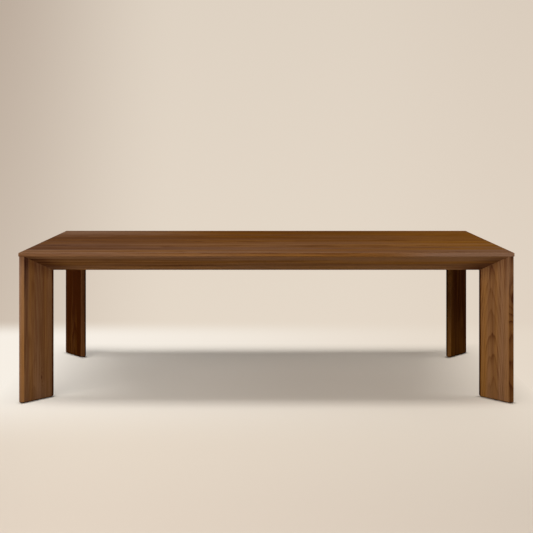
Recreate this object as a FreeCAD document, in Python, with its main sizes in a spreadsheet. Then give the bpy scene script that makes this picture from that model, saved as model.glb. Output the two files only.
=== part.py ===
import FreeCAD, Part
import math
import os
from types import SimpleNamespace

import Sketcher

# Dining table: a thin edge-glued top, sloping aprons and four plank legs set at 45 degrees.
# Lengths are in millimetres. X runs along the table, Y from front to back and Z up.
# The origin is on the floor, under the middle of the top.

# Driving dimensions: name, value, meaning
SIZES = (
    ("table_length", 2440.0, "top, end to end"),
    ("table_width", 1120.0, "top, front to back"),
    ("table_height", 742.0, "floor to the upper face of the top"),
    ("top_thickness", 18.0, "top boards"),
    ("top_arris", 2.5, "rounding of the top's upper edges and corners"),
    ("top_lower_arris", 1.0, "rounding of the top's lower edges"),
    ("top_overhang", 3.0, "top beyond the legs and aprons"),
    ("board_count", 8.0, "boards glued side by side into the top"),
    ("leg_width", 198.0, "leg, outer point to inner point"),
    ("leg_thickness", 34.0, "leg plank"),
    ("leg_arris", 4.5, "rounding of the leg's long edges"),
    ("leg_foot_bevel", 4.0, "bevel round the leg's lower end"),
    ("leg_lift", 4.0, "gap under the leg that the foot pad fills"),
    ("seat_cut", 14.0, "inner point of the leg cut back for the corner block"),
    ("seat_relief", 3.0, "seat below the corner block"),
    ("apron_drop", 82.0, "underside of the top to the lower edge of the apron"),
    ("apron_board", 20.0, "apron board, square to its face"),
    ("apron_arris", 1.5, "rounding of the apron's lower edges"),
    ("frame_setback", 22.0, "rails and corner blocks above the apron's lower edge"),
    ("block_thickness", 30.0, "corner block, along the table's diagonal"),
    ("rail_width", 45.0, "cross rail"),
    ("rail_web", 25.0, "rail wood between a screw head and the top"),
    ("slot_travel", 6.0, "play of a rail screw along its slot"),
    ("glue_block_reach", 80.0, "glue block under the top"),
    ("glue_block_thickness", 32.0, "glue block along the apron"),
    ("glue_block_gap", 33.0, "corner block to the nearest glue block, along the apron"),
    ("bolt_diameter", 8.0, "leg bolt, M8"),
    ("bolt_length", 55.0, "leg bolt below its head"),
    ("bolt_head_width", 13.0, "leg bolt head across flats"),
    ("bolt_head_height", 5.3, "leg bolt head"),
    ("bolt_edge", 15.0, "bolt to the corner block's upper or lower edge"),
    ("washer_diameter", 16.0, "leg bolt washer"),
    ("washer_thickness", 1.6, "leg bolt washer"),
    ("washer_play", 0.2, "washer bore around the bolt, on the radius"),
    ("insert_diameter", 12.0, "threaded insert"),
    ("insert_length", 20.0, "threaded insert"),
    ("screw_diameter", 4.5, "wood screw"),
    ("screw_length", 35.0, "wood screw below its head"),
    ("screw_head_diameter", 9.0, "wood screw pan head"),
    ("screw_head_height", 3.0, "wood screw pan head"),
    ("screw_wood", 20.0, "corner block wood that its screws pass"),
    ("screw_edge", 12.0, "upper corner block screw below the top"),
    ("screw_relief", 2.0, "pilot hole beyond a screw's tip"),
    ("foot_travel", 10.0, "how far a levelling foot screws out"),
    ("foot_gap", 0.3, "foot pad to leg and to stem collar"),
    ("pad_diameter", 24.0, "foot pad"),
    ("pad_bevel", 1.0, "bevel of the foot pad's lower edge"),
    ("pad_hub_diameter", 16.0, "hub of the foot pad, inside the leg"),
    ("pad_hub_height", 6.0, "hub of the foot pad, inside the leg"),
    ("socket_floor", 2.8, "pad under the stem's head"),
    ("stem_head_diameter", 10.0, "stem head held in the pad's socket"),
    ("stem_head_height", 2.5, "stem head held in the pad's socket"),
    ("stem_neck_diameter", 6.0, "stem between its head and collar"),
    ("stem_diameter", 8.0, "stem thread, M8"),
    ("stem_reserve", 1.0, "stem thread beyond its insert when the foot is right out"),
    ("collar_width", 11.0, "hex collar of the stem across flats"),
    ("collar_height", 4.0, "hex collar of the stem"),
    ("recess_diameter", 20.0, "recess in the leg for hub and collar"),
    ("recess_relief", 1.0, "recess above the collar"),
    ("bore_relief", 5.0, "bore beyond a bolt's or stem's tip"),
    ("bore_clearance", 0.5, "bore around a bolt, stem or screw, on the radius"),
    ("thread_clearance", 0.05, "thread or insert in its hole, on the radius"),
    ("running_clearance", 0.05, "stem in its pad"),
    ("overrun", 10.0, "cuts beyond the wood"),
)

DIAGONAL = math.sqrt(2)
HEXAGON_REACH = 1 / math.sqrt(3)
POINT = SimpleNamespace(start=1, end=2, centre=3, origin=-1)
UPRIGHT = FreeCAD.Vector(0, 0, 1)
CROSSWAYS = FreeCAD.Vector(0, 1, 0)
OUTWARD_TILT = -90.0
TOLERANCE = 1e-4
RAIL_NAMES = ("left", "middle", "right")
SIDE_GLUE_BLOCKS = 4
END_GLUE_BLOCKS = 2
BOLT_HEAD_SIDES = 6
SCREW_HEAD_SIDES = 12
SCREW_SHANK_SIDES = 8
LOW_SCREW_SHARE = 0.6

doc = FreeCAD.newDocument("DiningTable")


class Size:
    """A size that knows its number and the expression that ties it to the sheet."""

    def __init__(self, number, text):
        self.number = number
        self.text = text

    def __add__(self, other):
        other = as_size(other)
        return Size(self.number + other.number, f"({self.text} + {other.text})")

    def __sub__(self, other):
        other = as_size(other)
        return Size(self.number - other.number, f"({self.text} - {other.text})")

    def __mul__(self, other):
        other = as_size(other)
        return Size(self.number * other.number, f"({self.text} * {other.text})")

    def __truediv__(self, other):
        other = as_size(other)
        return Size(self.number / other.number, f"({self.text} / {other.text})")

    def __neg__(self):
        return Size(-self.number, f"(-1 * {self.text})")

    def root(self):
        return Size(math.sqrt(self.number), f"sqrt({self.text})")


def as_size(value):
    """A plain number as a size of its own."""
    return value if isinstance(value, Size) else Size(value, repr(value))


def size_sheet():
    """Writes the driving dimensions to the sheet and returns them by name."""
    sheet = doc.addObject("Spreadsheet::Sheet", "Sizes")
    found = {}
    for row, (name, value, meaning) in enumerate(SIZES, start=1):
        sheet.set(f"A{row}", name)
        sheet.set(f"B{row}", str(value))
        sheet.setAlias(f"B{row}", name)
        sheet.set(f"C{row}", meaning)
        found[name] = Size(value, f"Sizes.{name}")
    doc.recompute()
    return SimpleNamespace(**found)


s = size_sheet()

# Sizes that several pieces share

ZERO = as_size(0.0)
frame_length = s.table_length - s.top_overhang * 2
frame_width = s.table_width - s.top_overhang * 2
underside = s.table_height - s.top_thickness
board_width = s.table_width / s.board_count
leg_height = underside - s.leg_lift
leg_inset = s.leg_width / (2 * DIAGONAL)
narrow_face = s.leg_thickness / DIAGONAL
apron_depth = (s.leg_width - s.leg_thickness) / DIAGONAL
apron_slant = (apron_depth * apron_depth + s.apron_drop * s.apron_drop).root()
apron_shelf = s.apron_board * apron_slant / s.apron_drop
frame_height = s.apron_drop - s.frame_setback
seat_place = s.leg_width / 2 - s.seat_cut
block_face = seat_place + s.block_thickness
bolt_drops = (s.bolt_edge, frame_height - s.bolt_edge)
screw_drops = (s.screw_edge, frame_height * LOW_SCREW_SHARE)
pad_base = s.leg_lift - s.foot_gap
pad_top = pad_base + s.pad_hub_height
collar_place = pad_top + s.foot_gap
thread_place = collar_place + s.collar_height
recess_depth = thread_place + s.recess_relief - s.leg_lift
stem_tip = thread_place + s.recess_relief + s.insert_length + s.foot_travel + s.stem_reserve
screw_rows = s.board_count - 2
screw_span = (s.board_count - 3) * board_width
block_end = (block_face + s.leg_width / 2) * DIAGONAL - apron_shelf
glue_block_inset = block_end + s.glue_block_gap + s.glue_block_thickness / 2
rail_pitch = (frame_length - glue_block_inset * 2) / (SIDE_GLUE_BLOCKS - 1)

# Corners: name, side along X, side along Y, turn of the inward diagonal in degrees

CORNERS = (
    ("front_left", -1, -1, 45.0),
    ("front_right", 1, -1, 135.0),
    ("back_right", 1, 1, 225.0),
    ("back_left", -1, 1, 315.0),
)

# Aprons: name, length, side along X, side along Y, turn of its inward direction from +Y, glue blocks

APRONS = (
    ("front", frame_length, 0, -1, 0.0, SIDE_GLUE_BLOCKS),
    ("right", frame_width, 1, 0, 90.0, END_GLUE_BLOCKS),
    ("back", frame_length, 0, 1, 180.0, SIDE_GLUE_BLOCKS),
    ("left", frame_width, -1, 0, 270.0, END_GLUE_BLOCKS),
)


def apron_back(drop):
    """How far the apron's inner face lies behind the frame's outer plane, at a drop below the top."""
    return apron_shelf + apron_depth * drop / s.apron_drop


def block_reach(inward, drop):
    """Half the width between two aprons' inner faces, at a place on the corner's diagonal."""
    return inward + s.leg_width / 2 - apron_back(drop) * DIAGONAL


def screw_aside(drop):
    """How far from the diagonal a corner block screw has its stated wood to pass."""
    return block_reach(block_face - s.screw_wood, drop)


# Placing and binding


def bind(target, name, size):
    """Ties one property to the sheet."""
    target.setExpression(name, as_size(size).text)


def place(target, spot, turn=0.0, tilt=0.0):
    """Puts a piece at a spot, tilted about Y and then turned about Z."""
    rotation = FreeCAD.Rotation(UPRIGHT, turn) * FreeCAD.Rotation(CROSSWAYS, tilt)
    numbers = [as_size(value).number for value in spot]
    target.Placement = FreeCAD.Placement(FreeCAD.Vector(*numbers), rotation)
    for letter, value in zip("xyz", spot):
        bind(target, f"Placement.Base.{letter}", value)


def leg_spot(corner, up):
    """The middle of a leg, where its foot is, at a height."""
    _, side_x, side_y, _ = corner
    along = (frame_length / 2 - leg_inset) * side_x
    across = (frame_width / 2 - leg_inset) * side_y
    return along, across, up


def corner_spot(corner, inward, aside, up):
    """A spot in a corner's own frame: inward along its diagonal, and aside from it."""
    along, across, _ = leg_spot(corner, up)
    turn = math.radians(corner[3])
    along = along + inward * math.cos(turn) - aside * math.sin(turn)
    across = across + inward * math.sin(turn) + aside * math.cos(turn)
    return along, across, up


# Sketches


def origin_part(body, role):
    """One of a body's own planes or axes."""
    return next(part for part in body.Origin.OriginFeatures if part.Role == role)


def new_sketch(body, name, role, offset=ZERO):
    """A sketch on one of the body's planes, moved along the plane's normal."""
    sketch = body.newObject("Sketcher::SketchObject", f"{body.Name}_{name}")
    sketch.AttachmentSupport = [(origin_part(body, role), "")]
    sketch.MapMode = "FlatFace"
    sketch.AttachmentOffset = FreeCAD.Placement(
        FreeCAD.Vector(0, 0, offset.number), FreeCAD.Rotation()
    )
    bind(sketch, "AttachmentOffset.Base.z", offset)
    return sketch


def flat_point(spot):
    """A sketch point from two sizes."""
    across, up = (as_size(value).number for value in spot)
    return FreeCAD.Vector(across, up, 0)


def tie_point(sketch, item, point, spot):
    """Ties a point of the sketch to its place from the origin."""
    for kind, value in zip(("DistanceX", "DistanceY"), spot):
        value = as_size(value)
        rule = Sketcher.Constraint(kind, POINT.origin, POINT.start, item, point, value.number)
        index = sketch.addConstraint(rule)
        sketch.setExpression(f"Constraints[{index}]", value.text)


def tie_radius(sketch, item, radius):
    """Ties the radius of a circle or arc."""
    index = sketch.addConstraint(Sketcher.Constraint("Radius", item, radius.number))
    sketch.setExpression(f"Constraints[{index}]", radius.text)


def draw_outline(sketch, corners):
    """A closed outline of straight lines through corners that follow the sheet."""
    first = sketch.GeometryCount
    count = len(corners)
    for i in range(count):
        line = Part.LineSegment(flat_point(corners[i]), flat_point(corners[(i + 1) % count]))
        sketch.addGeometry(line, False)
    for i in range(count):
        joint = Sketcher.Constraint("Coincident", first + i, POINT.end, first + (i + 1) % count, POINT.start)
        sketch.addConstraint(joint)
    for i, corner in enumerate(corners):
        tie_point(sketch, first + i, POINT.start, corner)


def draw_circle(sketch, spot, radius):
    """A circle that follows the sheet."""
    item = sketch.addGeometry(Part.Circle(flat_point(spot), UPRIGHT, radius.number), False)
    tie_point(sketch, item, POINT.centre, spot)
    tie_radius(sketch, item, radius)


def draw_slot(sketch, spot, travel, radius):
    """A slot that runs up and down the sketch, its middle at the spot."""
    across, up = spot
    low = (across, up - travel / 2)
    high = (across, up + travel / 2)
    half = FreeCAD.Vector(radius.number, 0, 0)
    right = Part.LineSegment(flat_point(low) + half, flat_point(high) + half)
    head = Part.ArcOfCircle(Part.Circle(flat_point(high), UPRIGHT, radius.number), 0, math.pi)
    left = Part.LineSegment(flat_point(high) - half, flat_point(low) - half)
    tail_circle = Part.Circle(flat_point(low), UPRIGHT, radius.number)
    tail = Part.ArcOfCircle(tail_circle, math.pi, 2 * math.pi)
    first = sketch.GeometryCount
    for item in (right, head, left, tail):
        sketch.addGeometry(item, False)
    for i in range(4):
        joint = Sketcher.Constraint("Tangent", first + i, POINT.end, first + (i + 1) % 4, POINT.start)
        sketch.addConstraint(joint)
    tie_point(sketch, first + 1, POINT.centre, high)
    tie_point(sketch, first + 3, POINT.centre, low)
    tie_radius(sketch, first + 1, radius)
    tie_radius(sketch, first + 3, radius)


# Body features


def new_body(name):
    """An empty body under its own label."""
    body = doc.addObject("PartDesign::Body", name)
    body.Label = name
    return body


def add_pad(body, sketch, length, symmetric=False):
    """Extrudes a sketch along its plane's normal."""
    pad = body.newObject("PartDesign::Pad", f"{sketch.Name}_pad")
    pad.Profile = sketch
    if symmetric:
        pad.SideType = "Symmetric"
    bind(pad, "Length", length)
    doc.recompute()
    return pad


def removed(body, feature, before):
    """Stops the build if a cut took nothing away."""
    doc.recompute()
    if body.Shape.Volume > before - TOLERANCE:
        raise RuntimeError(f"{feature.Name} cuts nothing")
    return feature


def add_pocket(body, sketch, length=None, reverse=False, symmetric=False):
    """Cuts a sketch into the body, through all of it where no length is given."""
    before = body.Shape.Volume
    pocket = body.newObject("PartDesign::Pocket", f"{sketch.Name}_pocket")
    pocket.Profile = sketch
    pocket.Reversed = reverse
    if symmetric:
        pocket.SideType = "Symmetric"
    if length is None:
        pocket.Type = "ThroughAll"
    else:
        bind(pocket, "Length", length)
    return removed(body, pocket, before)


def add_drill(body, name, radius, depth, spot, turn=0.0):
    """Drills a plain hole that starts at the spot and runs back along the turned X axis."""
    before = body.Shape.Volume
    drill = body.newObject("PartDesign::SubtractiveCylinder", f"{body.Name}_{name}")
    rotation = FreeCAD.Rotation(UPRIGHT, turn) * FreeCAD.Rotation(CROSSWAYS, OUTWARD_TILT)
    numbers = [as_size(value).number for value in spot]
    drill.AttachmentSupport = [(origin_part(body, "XY_Plane"), "")]
    drill.MapMode = "FlatFace"
    drill.AttachmentOffset = FreeCAD.Placement(FreeCAD.Vector(*numbers), rotation)
    for letter, value in zip("xyz", spot):
        bind(drill, f"AttachmentOffset.Base.{letter}", value)
    bind(drill, "Radius", radius)
    bind(drill, "Height", depth)
    return removed(body, drill, before)


def add_fillet(body, radius, wanted):
    """Rounds the edges that a test picks out."""
    base = body.Tip
    names = [f"Edge{i}" for i, edge in enumerate(base.Shape.Edges, start=1) if wanted(edge)]
    fillet = body.newObject("PartDesign::Fillet", f"{body.Name}_fillet_{len(body.Group)}")
    fillet.Base = (base, names)
    bind(fillet, "Radius", radius)
    doc.recompute()
    return fillet


def add_bevel(body, size, wanted):
    """Bevels the edges that a test picks out."""
    base = body.Tip
    names = [f"Edge{i}" for i, edge in enumerate(base.Shape.Edges, start=1) if wanted(edge)]
    bevel = body.newObject("PartDesign::Chamfer", f"{body.Name}_bevel")
    bevel.Base = (base, names)
    bind(bevel, "Size", size)
    doc.recompute()
    return bevel


def add_turning(body, kind, sketch):
    """Turns a half profile about the sketch's upright axis, to add or to cut."""
    turning = body.newObject(f"PartDesign::{kind}", f"{sketch.Name}_turning")
    turning.Profile = sketch
    turning.ReferenceAxis = (sketch, ["V_Axis"])
    turning.Angle = 360.0
    doc.recompute()
    return turning


def add_pattern(body, features, axis, length, count):
    """Repeats features in a line along one of the body's axes."""
    pattern = body.newObject("PartDesign::LinearPattern", f"{body.Name}_pattern")
    pattern.Originals = features
    pattern.Direction = (origin_part(body, axis), [""])
    bind(pattern, "Length", length)
    bind(pattern, "Occurrences", count)
    body.Tip = pattern
    doc.recompute()
    return pattern


def is_level(edge):
    """Whether an edge lies at one height."""
    return edge.BoundBox.ZLength < TOLERANCE


def is_upright(edge):
    """Whether an edge runs straight up."""
    return edge.BoundBox.XLength < TOLERANCE and edge.BoundBox.YLength < TOLERANCE


def at(number, size):
    """Whether a measured number is the given size."""
    return abs(number - as_size(size).number) < TOLERANCE


# Part primitives for fasteners


def rod(name, radius, length, spot, turn=0.0, tilt=0.0):
    """A round bar from a spot, along its own axis."""
    bar = doc.addObject("Part::Cylinder", name)
    bind(bar, "Radius", radius)
    bind(bar, "Height", length)
    place(bar, spot, turn, tilt)
    return bar


def faceted_bar(name, sides, radius, length, spot, turn=0.0, tilt=0.0):
    """A bar of flat sides from a spot, its radius taken to the corners."""
    bar = doc.addObject("Part::Prism", name)
    bar.Polygon = sides
    bind(bar, "Circumradius", radius)
    bind(bar, "Height", length)
    place(bar, spot, turn, tilt)
    return bar


def ring(name, outer, inner, length, spot, turn=0.0, tilt=0.0):
    """A round bar with a bore."""
    cut = doc.addObject("Part::Cut", name)
    cut.Base = rod(f"{name}_outside", outer, length, spot, turn, tilt)
    cut.Tool = rod(f"{name}_bore", inner, length, spot, turn, tilt)
    return cut


def joined(name, head, shank):
    """A head and its shank as one solid."""
    fuse = doc.addObject("Part::Fuse", name)
    fuse.Base = head
    fuse.Tool = shank
    return fuse


def group(name, members):
    """Identical pieces that share one node."""
    holder = doc.addObject("Part::Compound", name)
    holder.Label = name
    holder.Links = members
    doc.recompute()
    return holder


# Top


def top_board(number):
    """One board of the top. The outer ones have the top's rounded long edges."""
    count = int(s.board_count.number)
    place_share = number - (count + 1) / 2
    outer_side = -1 if number == 1 else (1 if number == count else 0)
    outer_edge = board_width * outer_side / 2
    body = new_body(f"top_board_{number}")
    half_length = s.table_length / 2
    half_width = board_width / 2
    plan = new_sketch(body, "plan", "XY_Plane")
    corners = [
        (-half_length, -half_width),
        (half_length, -half_width),
        (half_length, half_width),
        (-half_length, half_width),
    ]
    draw_outline(plan, corners)
    add_pad(body, plan, s.top_thickness)

    def on_end(edge):
        return edge.BoundBox.XLength < TOLERANCE and is_level(edge)

    def on_outer_side(edge):
        box = edge.BoundBox
        return outer_side != 0 and box.YLength < TOLERANCE and at(box.YMin, outer_edge)

    def upper_or_corner(edge):
        outer = on_end(edge) or on_outer_side(edge)
        return outer and (at(edge.BoundBox.ZMax, s.top_thickness))

    def lower(edge):
        low = is_level(edge) and at(edge.BoundBox.ZMin, ZERO)
        side_y = edge.CenterOfMass.y
        glued = outer_side == 0 or side_y * outer_side < 0
        return low and not (edge.BoundBox.YLength < TOLERANCE and glued)

    add_fillet(body, s.top_arris, upper_or_corner)
    add_fillet(body, s.top_lower_arris, lower)
    if outer_side == 0:
        pilots = new_sketch(body, "pilots", "XY_Plane")
        for rail in (-1, 0, 1):
            radius = s.screw_diameter / 2 + s.thread_clearance
            draw_circle(pilots, (rail_pitch * rail, ZERO), radius)
        depth = s.screw_length - s.rail_web + s.screw_relief
        add_pocket(body, pilots, depth, reverse=True)
    place(body, (ZERO, board_width * place_share, underside))
    return body


# Aprons and glue blocks


def apron(name, length, side_x, side_y, turn):
    """A sloping apron, cut at each end to the leg's face and drilled for the corner block's screws."""
    body = new_body(f"{name}_apron")
    profile = new_sketch(body, "profile", "YZ_Plane")
    corners = [
        (ZERO, ZERO),
        (apron_depth, -s.apron_drop),
        (apron_depth + apron_shelf, -s.apron_drop),
        (apron_shelf, ZERO),
    ]
    draw_outline(profile, corners)
    add_pad(body, profile, length, symmetric=True)
    mitres = new_sketch(body, "mitres", "XY_Plane")
    deep = apron_depth + apron_shelf + s.overrun
    for side in (-1, 1):
        near = (length / 2 - narrow_face + s.overrun) * side
        far = (length / 2 - narrow_face - deep) * side
        end = (length / 2 + s.overrun * 2) * side
        draw_outline(mitres, [(near, -s.overrun), (end, -s.overrun), (end, deep), (far, deep)])
    add_pocket(body, mitres)

    def lower_edge(edge):
        low = is_level(edge) and at(edge.BoundBox.ZMin, -s.apron_drop)
        return low and edge.BoundBox.YLength < TOLERANCE

    add_fillet(body, s.apron_arris, lower_edge)
    for side, drill_turn in ((-1, 45.0), (1, 135.0)):
        for i, drop in enumerate(screw_drops):
            inward = s.leg_width / 2 + block_face
            aside = screw_aside(drop)
            along = (length / 2 - (inward + aside) / DIAGONAL) * side
            spot = (along, (inward - aside) / DIAGONAL, -drop)
            radius = s.screw_diameter / 2 + s.thread_clearance
            end_name = "left" if side < 0 else "right"
            depth = s.screw_length + s.screw_relief
            add_drill(body, f"pilot_{end_name}_{i + 1}", radius, depth, spot, drill_turn)
    place(body, (frame_length / 2 * side_x, frame_width / 2 * side_y, underside), turn)
    return body


def glue_blocks(name, length, side_x, side_y, turn, count):
    """The wedges that hold one apron to the underside of the top."""
    body = new_body(f"{name}_glue_blocks")
    body.AllowCompound = True
    span = length - glue_block_inset * 2
    profile = new_sketch(body, "profile", "YZ_Plane", -span / 2)
    far = apron_shelf + s.glue_block_reach
    fall = s.glue_block_reach * s.apron_drop / apron_depth
    draw_outline(profile, [(apron_shelf, ZERO), (far, -fall), (far, ZERO)])
    wedge = add_pad(body, profile, s.glue_block_thickness, symmetric=True)
    add_pattern(body, [wedge], "X_Axis", span, count)
    place(body, (frame_length / 2 * side_x, frame_width / 2 * side_y, underside), turn)
    return body


# Legs and corner blocks


def leg(corner):
    """A plank leg with pointed edges, its corner block seat, insert holes and foot bore."""
    body = new_body(f"leg_{corner[0]}")
    point = s.leg_width / 2
    flat = (s.leg_width - s.leg_thickness) / 2
    half = s.leg_thickness / 2
    plan = new_sketch(body, "plan", "XY_Plane")
    corners = [
        (-point, ZERO),
        (-flat, -half),
        (flat, -half),
        (point, ZERO),
        (flat, half),
        (-flat, half),
    ]
    draw_outline(plan, corners)
    add_pad(body, plan, leg_height)

    def at_foot(edge):
        return is_level(edge) and at(edge.BoundBox.ZMin, ZERO)

    add_fillet(body, s.leg_arris, is_upright)
    add_bevel(body, s.leg_foot_bevel, at_foot)
    seat = new_sketch(body, "seat", "XZ_Plane")
    seat_foot = leg_height - frame_height - s.seat_relief
    out = point + s.overrun
    top = leg_height + s.overrun
    draw_outline(seat, [(seat_place, seat_foot), (out, seat_foot), (out, top), (seat_place, top)])
    add_pocket(body, seat, symmetric=True)

    bolt_holes = new_sketch(body, "bolt_holes", "YZ_Plane", seat_place)
    for drop in bolt_drops:
        draw_circle(bolt_holes, (ZERO, leg_height - drop), s.bolt_diameter / 2)
    doc.recompute()
    before = body.Shape.Volume
    hole = body.newObject("PartDesign::Hole", f"{body.Name}_insert_holes")
    hole.Profile = bolt_holes
    doc.recompute()
    hole.ThreadType = "None"
    hole.DepthType = "Dimension"
    hole.DrillPoint = "Flat"
    hole.HoleCutType = "Counterbore"
    hole.HoleCutCustomValues = True
    bind(hole, "Diameter", s.bolt_diameter + s.bore_clearance * 2)
    bind(hole, "HoleCutDiameter", s.insert_diameter + s.thread_clearance * 2)
    bind(hole, "HoleCutDepth", s.insert_length)
    bolt_grip = s.washer_thickness + s.block_thickness
    bind(hole, "Depth", s.bolt_length - bolt_grip + s.bore_relief)
    removed(body, hole, before)

    before = body.Shape.Volume
    foot_bore = new_sketch(body, "foot_bore", "XZ_Plane")
    recess = s.recess_diameter / 2
    insert = s.insert_diameter / 2 + s.thread_clearance
    bore = s.stem_diameter / 2 + s.bore_clearance
    insert_top = recess_depth + s.insert_length
    bore_top = stem_tip - s.leg_lift + s.bore_relief
    steps = [
        (ZERO, -s.overrun),
        (recess, -s.overrun),
        (recess, recess_depth),
        (insert, recess_depth),
        (insert, insert_top),
        (bore, insert_top),
        (bore, bore_top),
        (ZERO, bore_top),
    ]
    draw_outline(foot_bore, steps)
    removed(body, add_turning(body, "Groove", foot_bore), before)
    place(body, leg_spot(corner, s.leg_lift), corner[3])
    return body


def corner_block(corner):
    """A hardwood block behind a leg, its ends cut to both aprons' sloping inner faces."""
    body = new_body(f"corner_block_{corner[0]}")
    sections = []
    for name, inward in (("seat", seat_place), ("face", block_face)):
        section = new_sketch(body, name, "YZ_Plane", inward)
        wide = block_reach(inward, ZERO)
        narrow = block_reach(inward, frame_height)
        corners = [
            (-wide, ZERO),
            (-narrow, -frame_height),
            (narrow, -frame_height),
            (wide, ZERO),
        ]
        draw_outline(section, corners)
        sections.append(section)
    loft = body.newObject("PartDesign::AdditiveLoft", f"{body.Name}_loft")
    loft.Profile = sections[0]
    loft.Sections = sections[1:]
    loft.Ruled = True
    doc.recompute()
    bolt_holes = new_sketch(body, "bolt_holes", "YZ_Plane", block_face)
    for drop in bolt_drops:
        draw_circle(bolt_holes, (ZERO, -drop), s.bolt_diameter / 2 + s.bore_clearance)
    add_pocket(body, bolt_holes)
    screw_holes = new_sketch(body, "screw_holes", "YZ_Plane", block_face)
    for drop in screw_drops:
        for side in (-1, 1):
            radius = s.screw_diameter / 2 + s.thread_clearance
            draw_circle(screw_holes, (screw_aside(drop) * side, -drop), radius)
    add_pocket(body, screw_holes)
    place(body, leg_spot(corner, underside), corner[3])
    return body


# Cross rails


def cross_rail(name, side):
    """A rail under the top, its ends cut to the aprons, with slots for the screws."""
    body = new_body(f"cross_rail_{name}")
    profile = new_sketch(body, "profile", "YZ_Plane")
    long_half = frame_width / 2 - apron_back(ZERO)
    short_half = frame_width / 2 - apron_back(frame_height)
    corners = [
        (-long_half, ZERO),
        (-short_half, -frame_height),
        (short_half, -frame_height),
        (long_half, ZERO),
    ]
    draw_outline(profile, corners)
    add_pad(body, profile, s.rail_width, symmetric=True)
    first = -screw_span / 2
    head_slot = new_sketch(body, "head_slot", "XY_Plane", -frame_height)
    draw_slot(head_slot, (ZERO, first), s.slot_travel, s.screw_head_diameter / 2 + s.bore_clearance)
    heads = add_pocket(body, head_slot, frame_height - s.rail_web, reverse=True)
    shank_slot = new_sketch(body, "shank_slot", "XY_Plane", -frame_height)
    draw_slot(shank_slot, (ZERO, first), s.slot_travel, s.screw_diameter / 2 + s.bore_clearance)
    shanks = add_pocket(body, shank_slot, frame_height + s.overrun, reverse=True)
    add_pattern(body, [heads, shanks], "Y_Axis", screw_span, screw_rows)
    place(body, (rail_pitch * side, ZERO, underside))
    return body


# Fasteners


def wood_screw(name, head_spot, seat_spot, turn=0.0, tilt=0.0):
    """A pan head wood screw from the outer face of its head, its round parts in flat sides."""
    radius = s.screw_head_diameter / 2
    height = s.screw_head_height
    head = faceted_bar(f"{name}_head", SCREW_HEAD_SIDES, radius, height, head_spot, turn, tilt)
    radius = s.screw_diameter / 2
    length = s.screw_length
    shank = faceted_bar(f"{name}_shank", SCREW_SHANK_SIDES, radius, length, seat_spot, turn, tilt)
    return joined(name, head, shank)


def rail_screws():
    """The screws from the rails up into the inner boards of the top."""
    screws = []
    seat = underside - s.rail_web
    for side, rail in enumerate(RAIL_NAMES, start=-1):
        for row in range(int(screw_rows.number)):
            name = f"rail_screw_{rail}_{row + 1}"
            spot = (rail_pitch * side, board_width * row - screw_span / 2)
            head_spot = (*spot, seat - s.screw_head_height)
            screws.append(wood_screw(name, head_spot, (*spot, seat)))
    return group("rail_screws", screws)


def corner_block_screws():
    """The screws from the corner blocks into the aprons."""
    screws = []
    for corner in CORNERS:
        turn = corner[3]
        for i, drop in enumerate(screw_drops):
            for side, hand in ((-1, "right"), (1, "left")):
                name = f"block_screw_{corner[0]}_{hand}_{i + 1}"
                aside = screw_aside(drop) * side
                up = underside - drop
                far = corner_spot(corner, block_face + s.screw_head_height, aside, up)
                near = corner_spot(corner, block_face, aside, up)
                screws.append(wood_screw(name, far, near, turn, OUTWARD_TILT))
    return group("corner_block_screws", screws)


def leg_hardware():
    """The bolts that hold the legs, with their washers and the inserts that they screw into."""
    bolts = []
    washers = []
    inserts = []
    for corner in CORNERS:
        turn = corner[3]
        for i, drop in enumerate(bolt_drops):
            name = f"{corner[0]}_{i + 1}"
            up = underside - drop
            washer_face = block_face + s.washer_thickness
            head_face = washer_face + s.bolt_head_height
            head_spot = corner_spot(corner, head_face, ZERO, up)
            washer_spot = corner_spot(corner, washer_face, ZERO, up)
            insert_spot = corner_spot(corner, seat_place, ZERO, up)
            corners = s.bolt_head_width * HEXAGON_REACH
            thick = s.bolt_head_height
            head = faceted_bar(
                f"bolt_head_{name}", BOLT_HEAD_SIDES, corners, thick, head_spot, turn, OUTWARD_TILT
            )
            bolt_radius = s.bolt_diameter / 2
            length = s.bolt_length
            shank = rod(f"bolt_shank_{name}", bolt_radius, length, washer_spot, turn, OUTWARD_TILT)
            bolts.append(joined(f"leg_bolt_{name}", head, shank))
            outer = s.washer_diameter / 2
            inner = bolt_radius + s.washer_play
            thick = s.washer_thickness
            washer = ring(f"washer_{name}", outer, inner, thick, washer_spot, turn, OUTWARD_TILT)
            washers.append(washer)
            outer = s.insert_diameter / 2
            inner = bolt_radius + s.thread_clearance
            length = s.insert_length
            insert = ring(f"insert_{name}", outer, inner, length, insert_spot, turn, OUTWARD_TILT)
            inserts.append(insert)
    return [
        group("leg_bolts", bolts),
        group("leg_washers", washers),
        group("leg_inserts", inserts),
    ]


# Levelling feet


def foot_inserts():
    """The threaded inserts in the lower ends of the legs."""
    inserts = []
    for corner in CORNERS:
        spot = leg_spot(corner, s.leg_lift + recess_depth)
        outer = s.insert_diameter / 2
        inner = s.stem_diameter / 2 + s.thread_clearance
        inserts.append(ring(f"foot_insert_{corner[0]}", outer, inner, s.insert_length, spot))
    return group("foot_inserts", inserts)


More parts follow.
